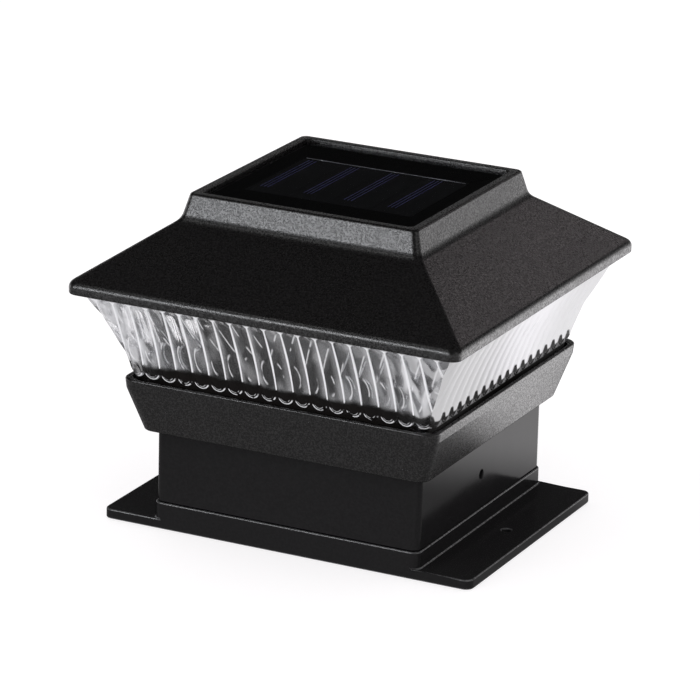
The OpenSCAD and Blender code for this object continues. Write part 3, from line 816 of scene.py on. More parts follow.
def rounded(section: Sequence[Bend], closed: bool = False, steps: int = 5) -> list[Bend]:
    """Rounds the corners of a section.

    Args:
        section: Its corners in order.
        closed: Whether the last corner joins the first.
        steps: Number of faces that a rounding takes.

    Returns:
        The points of the rounded section.
    """
    points: list[Bend] = []
    count = len(section)
    for i, bend in enumerate(section):
        if bend.fillet <= 0 or (not closed and i in (0, count - 1)):
            points.append(bend)
            continue
        here, before, after = (Vector((section[j % count].half, section[j % count].z))
                               for j in (i, i - 1, i + 1))
        before, after = before - here, after - here
        turn = before.angle(after)
        reach = min(bend.fillet / math.tan(turn / 2), before.length * 0.49, after.length * 0.49)
        radius = reach * math.tan(turn / 2)
        before, after = before.normalized(), after.normalized()
        centre = here + (before + after).normalized() * (radius / math.sin(turn / 2))
        first, last = (here + way * reach - centre for way in (before, after))
        start = math.atan2(first.y, first.x)
        sweep = (math.atan2(last.y, last.x) - start + math.pi) % (2 * math.pi) - math.pi
        for k in range(steps + 1):
            a = start + sweep * k / steps
            points.append(Bend(centre.x + radius * math.cos(a), centre.y + radius * math.sin(a),
                               plan=bend.plan))
    return points


def circle(sides: int) -> list[Pair]:
    """Returns the cosine and sine at each corner of a regular polygon."""
    turns = (2 * math.pi * k / sides for k in range(sides))
    return [(math.cos(turn), math.sin(turn)) for turn in turns]


def plan_ring(width: float, depth: float, radius: float, z: float, arc: int = 10) -> Outline:
    """Draws a rectangle with round corners.

    Args:
        width: Its size in X.
        depth: Its size in Y.
        radius: Radius of its corners.
        z: Height at which it lies.
        arc: Faces of each corner.

    Returns:
        Its points, counter-clockwise from the +X +Y corner.
    """
    ring = []
    for corner, (sx, sy) in enumerate(((1, 1), (-1, 1), (-1, -1), (1, -1))):
        cx, cy = sx * (width / 2 - radius), sy * (depth / 2 - radius)
        for k in range(arc + 1):
            a = math.radians(90 * (corner + k / arc))
            ring.append(Vector((cx + radius * math.cos(a), cy + radius * math.sin(a), z)))
    return ring


def bevelled(length: float, edge: float) -> list[Pair]:
    """Returns inset and height at each ring of an upright block whose ends are bevelled."""
    foot = [(edge, 0.0), (edge * 0.3, edge * 0.3), (0.0, edge)]
    return foot + [(inset, length - level) for inset, level in reversed(foot)]


class Form:
    """Closed shells under construction, in millimetres."""

    def __init__(self) -> None:
        """Starts with nothing."""
        self.mesh = bmesh.new()

    def loft(self, outlines: Sequence[Sequence[Vector]], closed: bool = False) -> "Form":
        """Skins a row of outlines with as many points each.

        Args:
            outlines: The outlines in order.
            closed: Whether the last joins the first. If not, both ends get a flat face.

        Returns:
            The form itself.
        """
        rings = [[self.mesh.verts.new(p) for p in outline] for outline in outlines]
        pairs = list(zip(rings, rings[1:])) + ([(rings[-1], rings[0])] if closed else [])
        for a, b in pairs:
            for i, here in enumerate(a):
                j = (i + 1) % len(a)
                self.mesh.faces.new((here, a[j], b[j], b[i]))
        if not closed:
            self.mesh.faces.new(rings[0][::-1])
            self.mesh.faces.new(rings[-1])
        return self

    def section(self, bends: Sequence[Bend], closed: bool = False, arc: int = 10) -> "Form":
        """Skins square rings that follow a section."""
        return self.loft([plan_ring(2 * b.half, 2 * b.half, b.plan, b.z, arc)
                          for b in rounded(bends, closed)], closed)

    def lathe(self, profile: Sequence[Sequence[float]], at: Sequence[float],
              axis: Sequence[float] = (0, 0, 1), sides: int = 40) -> "Form":
        """Turns a profile round an axis.

        Args:
            profile: Pairs of radius and distance along the axis.
            at: Where the axis starts.
            axis: Its direction.
            sides: Number of sides.

        Returns:
            The form itself.
        """
        stand = Vector((0, 0, 1)).rotation_difference(Vector(axis)).to_matrix()
        start = Vector(at)
        spokes = circle(sides)
        return self.loft([[start + stand @ Vector((radius * c, radius * s, along))
                           for c, s in spokes] for radius, along in profile])

    def rod(self, radius: float, length: float, at: Sequence[float], edge: float = 0.0,
            sides: int = 40) -> "Form":
        """Adds an upright cylinder.

        Args:
            radius: Its radius.
            length: Its length.
            at: Middle of its foot.
            edge: Width of the bevel round its ends. 0 leaves them plain.
            sides: Number of sides.

        Returns:
            The form itself.
        """
        if not edge:
            return self.lathe([(radius, 0), (radius, length)], at, sides=sides)
        return self.lathe([(radius - inset, level) for inset, level in bevelled(length, edge)],
                          at, sides=sides)

    def slab(self, size: Sequence[float], centre: Sequence[float], radius: float,
             edge: float, arc: int = 4) -> "Form":
        """Adds a block with round corners and bevelled edges.

        Args:
            size: Its width, depth and height.
            centre: Its middle.
            radius: Radius of its upright corners.
            edge: Width of the bevel round its top and foot.
            arc: Faces of each corner.

        Returns:
            The form itself.
        """
        w, d, h = size
        rings = [plan_ring(w - 2 * inset, d - 2 * inset, radius - inset * 0.5, level - h / 2, arc)
                 for inset, level in bevelled(h, edge)]
        return self.loft([[point + Vector(centre) for point in ring] for ring in rings])

    def tube(self, path: Sequence[Vector], radius: float, sides: int = 12) -> "Form":
        """Sweeps a round section along a path.

        Args:
            path: Points of the path.
            radius: Radius of the section.
            sides: Number of sides.

        Returns:
            The form itself.
        """
        rings = []
        side = Vector((0, 0, 1))
        for i, point in enumerate(path):
            ahead = (path[min(i + 1, len(path) - 1)] - path[max(i - 1, 0)]).normalized()
            if abs(side.dot(ahead)) < 0.99:
                side = (side - ahead * side.dot(ahead)).normalized()
            else:
                side = ahead.orthogonal().normalized()
            lift = ahead.cross(side)
            rings.append([point + radius * (side * c + lift * s) for c, s in circle(sides)])
        return self.loft(rings)

    def stamp(self, other: "Form", places: Iterable[Matrix] = (Matrix(),)) -> "Form":
        """Adds copies of another form.

        Args:
            other: The other form.
            places: Where each copy goes. Without it, one goes where the other form is.

        Returns:
            The form itself.
        """
        for place in places:
            copy = other.mesh.copy()
            copy.transform(place)
            passing = bpy.data.meshes.new("passing")
            copy.to_mesh(passing)
            copy.free()
            self.mesh.from_mesh(passing)
            bpy.data.meshes.remove(passing)
        return self

    def _object(self, name: str, scale: float = 1.0) -> bpy.types.Object:
        """Turns the form into an object of the scene, with all normals outward.

        Args:
            name: The object's name.
            scale: Factor on its size.

        Returns:
            The object.
        """
        bmesh.ops.recalc_face_normals(self.mesh, faces=self.mesh.faces)
        self.mesh.transform(Matrix.Scale(scale, 4))
        mesh = bpy.data.meshes.new(name)
        self.mesh.to_mesh(mesh)
        made = bpy.data.objects.new(name, mesh)
        bpy.context.scene.collection.objects.link(made)
        return made

    def combine(self, other: "Form", operation: str) -> "Form":
        """Cuts another form out of this one, or joins it on.

        Args:
            other: The other form.
            operation: DIFFERENCE or UNION.

        Returns:
            The new form.
        """
        for form in (self, other):
            bmesh.ops.remove_doubles(form.mesh, verts=form.mesh.verts, dist=MERGE_MM)
        host, tool = self._object("host"), other._object("tool")
        cut = host.modifiers.new("cut", "BOOLEAN")
        cut.operation, cut.solver, cut.object = operation, "EXACT", tool
        shaped = host.evaluated_get(bpy.context.evaluated_depsgraph_get())
        mesh = bpy.data.meshes.new_from_object(shaped)
        result = Form()
        result.mesh.from_mesh(mesh)
        for spent in (host, tool):
            data = spent.data
            bpy.data.objects.remove(spent)
            bpy.data.meshes.remove(data)
        bpy.data.meshes.remove(mesh)
        return result

    def build(self, name: str, finish: Finishes, body: str, replaces: Sequence[str] = (),
              sharp: float = 38.0, crisp: bool = True) -> bpy.types.Object:
        """Makes the finished object and lets it ride.

        Args:
            name: The piece's name.
            finish: Its finish.
            body: The body that it rides on.
            replaces: The nodes that it stands for.
            sharp: Angle in degrees above which an edge stays sharp.
            crisp: Whether flat faces keep flat shading next to rounded edges.

        Returns:
            The object.
        """
        bmesh.ops.remove_doubles(self.mesh, verts=self.mesh.verts, dist=MERGE_MM)
        bmesh.ops.dissolve_degenerate(self.mesh, edges=self.mesh.edges, dist=MERGE_MM / 10)
        made = self._object(name, MM)
        self.mesh.free()
        mesh = made.data
        mesh.shade_smooth()
        mesh.set_sharp_from_angle(angle=math.radians(sharp))
        mesh.materials.append(finish.value.material())
        if crisp:
            flatten(made)
        if replaces:
            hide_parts(*replaces)
        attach(made, body)
        LOG.info("%s: %d faces, on %s", name, len(mesh.polygons), body)
        return made


def corners(at: float) -> list[Pair]:
    """Returns the four corners of a square of half width at."""
    return [(x, y) for x in (-at, at) for y in (-at, at)]


def seats(at: float, z: float, turn: float = 0.0) -> list[Matrix]:
    """Returns the places at such corners at height z, turned by an angle in degrees about X."""
    return [Matrix.Translation((x, y, z)) @ Matrix.Rotation(math.radians(turn), 4, "X")
            for x, y in corners(at)]


def flatten(made: bpy.types.Object) -> None:
    """Keeps an object's flat faces flat next to rounded edges."""
    made.modifiers.new("flat_faces", "WEIGHTED_NORMAL").keep_sharp = True


def dress_node(name: str, finish: Finishes, edge_mm: float,
               edge_highlight_finish: Finishes | None = None, clamp: bool = True) -> None:
    """Gives a node of the frame its finish and rounds its edges.

    Args:
        name: The node.
        finish: Its finish.
        edge_mm: Width of the rounding. 0 leaves the edges as they are.
        edge_highlight_finish: Finish of the rounded edges, if it differs, such as a lighter one
            that paints a highlight.
        clamp: Whether short edges narrow the rounding.
    """
    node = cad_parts[name]
    node.data.materials.clear()
    node.data.materials.append(finish.value.material())
    node.data.shade_smooth()
    weld = node.modifiers.new("weld", "WELD")
    weld.merge_threshold = WELD_M
    if edge_mm:
        flat = node.modifiers.new("flat", "DECIMATE")
        flat.decimate_type = "DISSOLVE"
        flat.angle_limit = math.radians(FLAT_DEG)
        edge = node.modifiers.new("edge", "BEVEL")
        edge.width = edge_mm * MM
        edge.segments = EDGE_STEPS
        edge.limit_method = "ANGLE"
        edge.angle_limit = math.radians(SHARP_DEG)
        edge.use_clamp_overlap = clamp
        # A lighter finish on the rounded edges paints a highlight there.
        if edge_highlight_finish:
            node.data.materials.append(edge_highlight_finish.value.material())
            edge.material = 1
    flatten(node)
    LOG.info("%s: node of the frame, dressed in %s", name, finish.value.name)


# ---------------------------------------------------------------- base and head


@dataclass
class Adapter:
    """The winged plate with its shoulder and upstand."""

    edge: float = 0.45

    def build(self) -> None:
        """Dresses the plate."""
        # Its rounded edges get a lighter finish: a painted highlight.
        dress_node("adapter_base", Finishes.GLOSS, self.edge, Finishes.EDGE_HIGHLIGHT, clamp=False)


@dataclass
class Skirt:
    """The glossy sleeve over the post, with its screw holes."""

    half: float = 50.0
    wall: float = 2.5
    foot: float = 9.9
    top: float = 36.0
    plan: float = 3.0
    flange: float = 10.0
    flange_t: float = 2.4
    hole_d: float = 3.0
    hole_z: float = 22.0
    screw_at: float = 42.5
    screw_bore_d: float = 2.6

    @property
    def flange_z(self) -> float:
        """Returns the height of the flange's underside, where its screws sit."""
        return self.top - self.flange_t

    def build(self) -> None:
        """Makes the sleeve's mesh, cuts its holes and dresses it."""
        inner = self.half - self.wall
        mouth = inner - self.flange
        plan_in = self.plan - self.wall + 0.2
        shell = Form().section([
            Bend(self.half, self.foot, 0.35, self.plan), Bend(self.half, self.top, 0.35, self.plan),
            Bend(mouth, self.top, 0.2), Bend(mouth, self.flange_z, 0.2),
            Bend(inner, self.flange_z, 0.3, plan_in), Bend(inner, self.foot, 0.3, plan_in),
        ], closed=True)
        bores = Form()
        rim, deep = self.hole_d / 2 + 0.35, self.hole_d / 2
        for side in (-1, 1):
            bores.lathe([(rim + 0.5, -0.5), (rim, 0), (deep, 0.35), (deep, self.wall + 1)],
                        (side * self.half, 0, self.hole_z), (-side, 0, 0), 32)
        for x, y in corners(self.screw_at):
            bores.rod(self.screw_bore_d / 2, self.flange_t + 2, (x, y, self.flange_z - 1), sides=24)
        shell.combine(bores, "DIFFERENCE").build("skirt_shell", Finishes.GLOSS, "head", ["skirt"])


@dataclass
class Tray:
    """The textured tray that carries the lens."""

    foot: float = 36.0
    foot_half: float = 53.8
    ledge: float = 51.6
    edge_half: float = 58.8
    top: float = 55.3
    rim_half: float = 59.2
    rim_in: float = 57.65
    ledge_in: float = 54.5
    floor: float = 38.4
    floor_half: float = 51.35
    pillar_at: float = 50.5
    pillar_d: float = 6.4
    pillar_top: float = 52.4
    seat_z: float = 48.4
    seat_d: float = 5.0
    bore_d: float = 2.6
    boss_at: float = 42.5
    boss_d: float = 6.0
    boss_top: float = 43.2
    boss_bore_h: float = 6.0

    def build(self) -> None:
        """Makes the tray's mesh with its pillars and bosses and dresses it."""
        seat, bore, deep = self.seat_d / 2, self.bore_d / 2, self.seat_z - self.foot
        shell = Form().section([
            Bend(self.foot_half - 0.9, self.foot, plan=3.2),
            Bend(self.foot_half, self.foot, 0.9, 4.0), Bend(self.edge_half, self.ledge, 1.2, 5.0),
            Bend(self.rim_half, self.top, 0.55, 5.2), Bend(self.rim_in, self.top, 0.35, 6.85),
            Bend(self.rim_in, self.ledge, plan=6.85), Bend(self.ledge_in, self.ledge, 0.3, 3.4),
            Bend(self.floor_half, self.floor, 0.8), Bend(self.floor_half - 1, self.floor),
        ], arc=12)
        posts, bores = Form(), Form()
        for x, y in corners(self.pillar_at):
            posts.rod(self.pillar_d / 2, self.pillar_top - self.foot - 1, (x, y, self.foot + 1))
            bores.lathe([(seat + 0.3, -0.5), (seat, 0.2), (seat, deep), (bore, deep),
                         (bore, self.pillar_top - self.foot + 1)], (x, y, self.foot))
        for x, y in corners(self.boss_at):
            posts.rod(self.boss_d / 2, self.boss_top - self.foot - 1, (x, y, self.foot + 1))
            bores.rod(bore, self.boss_bore_h + 1, (x, y, self.foot - 1), sides=24)
        shell = shell.combine(posts, "UNION").combine(bores, "DIFFERENCE")
        shell.build("tray_shell", Finishes.TEXTURED, "head", ["tray"])


@dataclass
class Lens:
    """The clear ribbed lens, with flutes in upright planes that meet in mitres at its corners."""

    foot: float = 52.4
    foot_half: float = 57.15
    top_half: float = 71.2
    height: float = 35.6
    power: float = 1.5
    ribs: Ribs = Ribs()
    wall: float = 1.6
    corner: float = 6.35
    flange_t: float = 2.0
    flange_half: float = 46.5
    boss_at: float = 50.5
    boss_d: float = 7.0
    boss_h: float = 15.1
    peg_bore_d: float = 3.8
    peg_bore_h: float = 8.5
    per_rib: int = 10
    per_foot: int = 8
    per_run: int = 22
    per_head: int = 6

    @property
    def cut(self) -> float:
        """Returns the share of a corner's radius by which its rounding pulls the mitre in."""
        return 1 - math.cos(math.pi / 4)

    def half(self, h: float) -> float:
        """Returns the half width over the ribs at a height above the foot."""
        return self.foot_half + (self.top_half - self.foot_half) * (h / self.height) ** self.power

    def rib_inset(self, x: float, h: float) -> float:
        """Returns how far the skin lies inside the ribs' crests.

        Args:
            x: Distance along the side from its middle.
            h: Height above the foot.

        Returns:
            The inset in millimetres.
        """
        ribs = self.ribs
        off = ribs.from_axis(x, self.foot + h)
        radius = (ribs.reach ** 2 + ribs.depth ** 2) / (2 * ribs.depth)
        crown = radius - math.sqrt(radius ** 2 - off ** 2)
        brim = radius - math.sqrt(radius ** 2 - (ribs.reach - ribs.groove) ** 2)
        return min(crown, brim)

    def columns(self) -> list[float]:
        """Lists the places along a side where its outlines have points.

        Returns:
            Distances from the side's middle, up to the widest mitre.
        """
        pitch, groove = self.ribs.pitch, self.ribs.groove
        crown = pitch - 2 * groove
        rib = [0.0] + [groove + crown * k / self.per_rib for k in range(self.per_rib + 1)]
        widest = self.top_half - self.corner * self.cut
        count = math.ceil(widest / pitch)
        every = [k * pitch + place for k in range(-count, count) for place in rib]
        return [-widest] + [x for x in every if abs(x) < widest]

    def ring(self, h: float, half: float, corner: float, ribbed: bool) -> Outline:
        """Returns one outline of the lens.

        Args:
            h: Height above the foot.
            half: Half width of the outline.
            corner: Radius of its corners.
            ribbed: Whether it follows the ribs.

        Returns:
            As many points at every height, the spare ones heaped on the mitres.
        """
        mitre = self.half(h) - self.corner * self.cut
        own_mitre = half - corner * self.cut
        side: Outline = []
        for column in self.columns():
            x = max(-mitre, min(mitre, column))
            inset = self.rib_inset(x, h) if ribbed else 0.0
            here = x * own_mitre / mitre
            lean = max(0.0, abs(here) - half + corner) / corner
            lean = min(lean, math.sin(math.pi / 4))
            out = Vector((math.copysign(lean, here), -math.sqrt(1 - lean * lean), 0))
            y = -half if lean == 0 else -(half - corner + corner * math.sqrt(1 - lean * lean))
            side.append(Vector((here, y, self.foot + h)) - out * inset)
        return [Matrix.Rotation(math.radians(turn), 4, "Z") @ point
                for turn in (0, 90, 180, 270) for point in side]

    def is_skin(self, point: Vector) -> bool:
        """Tells the ribbed outside from the rest.

        Args:
            point: A point of the lens.

        Returns:
            Whether it lies on the ribbed outside.
        """
        h = min(max(point.z - self.foot, 0.0), self.height)
        out = max(abs(point.x), abs(point.y), (abs(point.x) + abs(point.y)) / math.sqrt(2))
        return 0 < h < self.height and out > self.half(h) - self.ribs.depth - self.wall / 2

    def build(self) -> None:
        """Makes the lens's mesh and dresses it."""
        ribs = self.ribs
        start = ribs.foot - self.foot
        end = start + ribs.reach
        arch = ribs.top - self.foot - ribs.reach * ribs.arch
        lining_foot = self.flange_t + 0.2
        heights = [0.0, 1.0, lining_foot, 3.0, start]
        for low, high, count in ((start, end, self.per_foot), (end, arch, self.per_run),
                                 (arch, self.height, self.per_head)):
            heights += [low + (high - low) * k / count for k in range(1, count + 1)]
        inset = self.wall + ribs.depth
        inner = self.corner - inset + 0.5
        skin = [self.ring(h, self.half(h), self.corner, True) for h in heights]
        lining = [self.ring(h, self.half(h) - inset, inner, False) for h in reversed(heights[2:])]
        flange = [self.ring(h, self.flange_half, 5.0, False) for h in (self.flange_t, 0.0)]
        shell = Form().loft(skin + lining + flange, closed=True)
        for face in shell.mesh.faces:
            face.material_index = int(not self.is_skin(face.calc_center_median()))
        bosses = Form()
        boss, bore = self.boss_d / 2, self.peg_bore_d / 2
        for x, y in corners(self.boss_at):
            bosses.lathe([(boss, self.flange_t + 0.03 - self.boss_h), (boss, -0.4), (boss - 0.4, 0),
                          (bore + 0.3, 0), (bore, -0.3), (bore, -self.peg_bore_h),
                          (0.05, -self.peg_bore_h)], (x, y, self.foot + self.boss_h))
        for face in bosses.mesh.faces:
            face.material_index = 1
        shell.stamp(bosses)
        lens = shell.build("ribbed_lens", Finishes.LENS, "head", ["lens"], sharp=45.0, crisp=False)
        lens.data.materials.append(Finishes.LINING.value.material())


@dataclass(frozen=True)
class Screw:
    """A pan-headed self-tapping screw with a crossed recess."""

    head_d: float
    head_h: float
    shank_d: float
    length: float
    pitch: float = 0.9
    thread_depth: float = 0.25
    thread_start: float = 0.5
    tip: float = 1.0
    slot: Triple = (0.58, 0.17, 1.1)

    def form(self) -> Form:
        """Shapes the screw, with the underside of its head at the origin and its tip up.

        Returns:
            The form.
        """
        head, crest, root = self.head_d, self.shank_d / 2, self.shank_d / 2 - self.thread_depth
        profile = [(head * 0.2, -self.head_h), (head * 0.42, -self.head_h * 0.92),
                   (head * 0.49, -self.head_h * 0.6), (head / 2, -self.head_h * 0.2),
                   (head / 2, 0), (root, 0)]
        for k in range(int((self.length - self.tip - 0.6) / self.pitch)):
            z = self.thread_start + k * self.pitch
            profile += [(root, z), (crest, z + self.pitch * 0.45), (root, z + self.pitch * 0.6)]
        profile += [(root, self.length - self.tip), (0.15, self.length)]
        body = Form().lathe(profile, (0, 0, 0), sides=28)
        long, wide, deep = head * self.slot[0], head * self.slot[1], self.head_h * self.slot[2]
        for size in ((long, wide, deep), (wide, long, deep)):
            arm = Form().slab(size, (0, 0, -self.head_h), 0.1, 0.05, 1)
            body = body.combine(arm, "DIFFERENCE")
        return body

    def build(self, name: str, body: str, places: Iterable[Matrix]) -> None:
        """Makes a set of such screws in one piece."""
        Form().stamp(self.form(), places).build(f"{name}_set", Finishes.STEEL, body, [name])


@dataclass
class Head:
    """Skirt, tray, lens, gasket and the screws that hold them together."""

    skirt: Skirt = field(default_factory=Skirt)
    tray: Tray = field(default_factory=Tray)
    lens: Lens = field(default_factory=Lens)
    screw: Screw = Screw(4.6, 1.7, 2.4, 8.0)

    def build(self) -> None:
        """Builds the whole head."""
        for part in (self.skirt, self.tray, self.lens):
            part.build()
        dress_node("lens_gasket", Finishes.FOAM, 0.15)
        self.screw.build("tray_screws", "head", seats(self.skirt.screw_at, self.skirt.flange_z))
        self.screw.build("lens_screws", "head", seats(self.tray.pillar_at, self.tray.seat_z))


# ---------------------------------------------------------------- roof


@dataclass
class Roof:
    """The hipped roof with its lip, cove, neck and panel pocket, and its four pegged posts."""

    eave: float = 86.7
    eave_half: float = 72.9
    lip_in: float = 71.7
    slope_foot_half: float = 71.7
    slope_foot: float = 91.4
    neck_half: float = 45.0
    neck_wall: float = 2.7
    neck: float = 110.1
    top_half: float = 42.6
    top: float = 119.1
    pocket_half: float = 39.3
    pocket: float = 114.6
    ceiling: float = 112.6
    drop: float = 2.93
    post_at: float = 50.5
    post_d: float = 5.6
    post_foot: float = 67.8
    peg_d: float = 3.2
    peg_h: float = 8.0
    boss_at: float = 37.5
    boss_d: float = 6.4
    boss_foot: float = 89.0

    def face(self, half: float) -> float:
        """Returns the height of the sloping face at a half width."""
        fall = (self.neck - self.slope_foot) / (self.slope_foot_half - self.neck_half)
        return self.neck - (half - self.neck_half) * fall

    def post(self, x: float, y: float) -> Form:
        """Shapes one corner post with its peg, its top cut to the slope.

        Args:
            x: Place of its axis in X.
            y: Place of its axis in Y.

        Returns:
            The form.
        """
        foot, r, peg = self.post_foot, self.post_d / 2, self.peg_d / 2
        levels = [(peg - 0.5, foot - self.peg_h), (peg, foot - self.peg_h + 0.6), (peg, foot),
                  (r - 0.3, foot), (r, foot + 0.3), (r, foot + 0.3)]
        rings = [[Vector((x + radius * c, y + radius * s, z)) for c, s in circle(40)]
                 for radius, z in levels]
        for point in rings[-1]:
            point.z = self.face(max(abs(point.x), abs(point.y))) - self.drop / 2
        return Form().loft(rings)

    def build(self) -> None:
        """Makes the roof's mesh and dresses it."""
        under = self.neck_half - self.neck_wall
        foot, brim = under + 3.5, self.lip_in - 0.3
        shell = Form().section([
            Bend(under - 1.4, self.ceiling, 0.0, 2.0), Bend(under - 0.4, self.ceiling, 0.8, 2.0),
            Bend(under, self.neck - self.drop + 1, 1.5, 2.0),
            Bend(foot, self.face(foot) - self.drop, 1.5, 2.0),
            Bend(brim, self.face(brim) - self.drop, 0.3),
            Bend(self.lip_in, self.eave + 1.6, 0.2, 3.2),
            Bend(self.lip_in, self.eave, 0.25, 3.2), Bend(self.eave_half, self.eave, 1.1, 3.6),
            Bend(self.eave_half, self.face(self.eave_half), 2.8, 3.5),
            Bend(self.neck_half, self.neck, 5.5, 2.5),
            Bend(self.top_half, self.top, 0.9, 2.2), Bend(self.pocket_half, self.top, 0.35, 2.0),
            Bend(self.pocket_half, self.pocket, 0.3, 2.0),
            Bend(self.pocket_half - 1, self.pocket, 0.0, 2.0)], arc=12)
        posts = Form()
        for x, y in corners(self.post_at):
            posts.stamp(self.post(x, y))
        for x, y in corners(self.boss_at):
            posts.rod(self.boss_d / 2, self.ceiling + 1 - self.boss_foot, (x, y, self.boss_foot))
        shell.combine(posts, "UNION").build("roof_shell", Finishes.TEXTURED, "roof", ["roof"])


@dataclass
class SolarPanel:
    """Backing, cells with their collectors and bus ribbon, and the clear cover."""

    face: float = 116.4
    cells: int = 4
    array_w: float = 62.0
    array_d: float = 46.0
    cell_t: float = 0.2
    finger_x: tuple[float, ...] = (-27.5, -11.0, 4.3, 20.8)
    finger_gap: float = 1.35
    finger_y: Pair = (-16.5, 20.5)
    bus_x: Pair = (-31.0, 30.1)
    bus_y: float = 22.4
    finger: Pair = (0.28, 0.03)
    bus: Pair = (0.42, 0.05)
    cover_half: float = 38.9
    cover_top: float = 117.8
    cover_gap: float = 0.5

    def cell_layer(self) -> None:
        """Makes the cells, the collector lines on them and the bus ribbon across them."""
        pitch = self.array_w / self.cells
        skin = self.face + self.cell_t
        wafers, lines = Form(), Form()
        for i in range(self.cells):
            wafers.slab((pitch - 0.4, self.array_d, self.cell_t),
                        (-self.array_w / 2 + (i + 0.5) * pitch, 0, self.face + self.cell_t / 2),
                        0.15, 0.03, 1)
        wafers.build("cell_wafers", Finishes.SILICON, "roof", ["solar_cells"])
        low, high = self.finger_y
        wide, thick = self.finger
        for x in self.finger_x:
            for k in (-1, 0, 1):
                lines.slab((wide, high - low, thick),
                           (x + k * self.finger_gap, (low + high) / 2, skin + 0.02), 0.05, 0.01, 1)
        lines.build("cell_collectors", Finishes.FINGER, "roof")
        left, right = self.bus_x
        wide, thick = self.bus
        ribbon = Form().slab((right - left, wide, thick),
                             ((left + right) / 2, self.bus_y, skin + 0.04), 0.08, 0.02, 1)
        ribbon.build("cell_ribbon", Finishes.RIBBON, "roof")

    def build(self) -> None:
        """Makes the cells and the cover and dresses the rest."""
        self.cell_layer()
        half, top, gap = self.cover_half, self.cover_top, 2 * self.cover_gap
        cover = Form().section([
            Bend(half - 0.2, self.face, 0.0, 1.4), Bend(half, self.face, 0.15, 1.6),
            Bend(half, top, 0.35, 1.6), Bend(half - 1, top, 0.0, 1.4)])
        pocket = Form().slab((self.array_w + gap, self.array_d + gap, 0.6), (0, 0, self.face),
                             0.5, 0.05)
        cover = cover.combine(pocket, "DIFFERENCE")
        cover.build("panel_glaze", Finishes.RESIN, "roof", ["panel_cover"])
        dress_node("solar_backing", Finishes.BACKING, 0.2)
        dress_node("panel_seal", Finishes.FOAM, 0.1)


# ---------------------------------------------------------------- lamp box


@dataclass
class Board:
    """Circuit board with its parts, lamps and screws. A can is a radius, a height and a place."""

    top: float = 71.6
    foot: float = 70.0
    led_at: float = 20.0
    led_d: float = 5.0
    barrel: float = 6.2
    cup_x: float = -0.5
    leg_x: float = 1.3
    driver: Pair = (-8.0, 17.0)
    driver_size: Triple = (4.9, 3.9, 1.5)
    pin_pitch: float = 1.27
    pin_size: Triple = (0.45, 1.1, 0.25)
    cans: tuple[tuple[float, float, Pair], ...] = (
        (3.0, 3.2, (8.0, 18.0)), (1.9, 5.2, (16.0, -17.0)))
    chip_size: Triple = (2.0, 1.25, 0.6)
    cap_size: Triple = (0.5, 1.4, 0.5)
    chips: tuple[Pair, ...] = (
        (-18, 14), (-18, 19), (-14, -15), (-8, -18), (3, -16), (17, 12), (20, 24.5))
    screw_at: float = 26.5
    screw: Screw = Screw(3.6, 1.4, 1.8, 5.0, 0.7)

    def leds(self) -> None:
        """Makes the four domed lamps, each with its cup, chip and legs."""
        epoxy, metal, chip = Form(), Form(), Form()
        r, barrel = self.led_d / 2, self.barrel
        dome = [(r * math.cos(a), -barrel - r * math.sin(a))
                for a in map(math.radians, range(10, 90, 10))]
        for x, y in corners(self.led_at):
            epoxy.lathe([(r + 0.4, 0), (r + 0.4, -1.0), (r, -1.05), (r, -barrel), *dome,
                         (0.04, -barrel - r)], (x, y, self.foot), sides=36)
            metal.lathe([(0.5, -0.3), (0.5, -4.6), (1.1, -5.4), (1.15, -5.4), (1.0, -5.1),
                         (0.05, -4.8)], (x + self.cup_x, y, self.foot), sides=20)
            metal.slab((0.5, 0.5, 5.0), (x + self.leg_x, y, self.foot - 2.4), 0.08, 0.05, 1)
            chip.slab((0.7, 0.7, 0.25), (x + self.cup_x, y, self.foot - 5.0), 0.05, 0.03, 1)
        epoxy.build("lamp_domes", Finishes.EPOXY, "roof", ["leds"])
        metal.build("lamp_frames", Finishes.SOLDER, "roof")
        chip.build("lamp_chips", Finishes.PHOSPHOR, "roof")

    def parts(self) -> None:
        """Makes the parts and joints on top of the board."""
        black, tan, joints = Form(), Form(), Form()
        left, middle = self.driver
        black.slab(self.driver_size, (left, middle, self.top + 0.85), 0.2, 0.1, 2)
        for radius, height, place in self.cans:
            black.rod(radius, height, (*place, self.top + 0.1), edge=0.3)
        for k in range(4):
            for side in (-1, 1):
                place = (left - 1.9 + self.pin_pitch * k, middle + side * 2.4, self.top + 0.15)
                joints.slab(self.pin_size, place, 0.1, 0.05, 1)
        for x, y in self.chips:
            tan.slab(self.chip_size, (x, y, self.top + 0.35), 0.15, 0.08, 2)
            for side in (-1, 1):
                joints.slab(self.cap_size, (x + side * 1.15, y, self.top + 0.27), 0.12, 0.06, 1)
        for x, y in corners(self.led_at):
            for leg in (self.cup_x, self.leg_x):
                joints.lathe([(0.9, 0.02), (0.7, 0.35), (0.3, 0.9), (0.1, 1.0)],
                             (x + leg, y, self.top), sides=16)
        black.build("board_parts", Finishes.CHIP, "roof")
        tan.build("board_chips", Finishes.CERAMIC, "roof")
        joints.build("board_joints", Finishes.SOLDER, "roof")

    def build(self) -> None:
        """Builds the board with all that is on it."""
        dress_node("circuit_board", Finishes.BOARD, 0.12)
        self.leds()
        self.parts()
        self.screw.build("board_screws", "roof", seats(self.screw_at, self.top, turn=180.0))


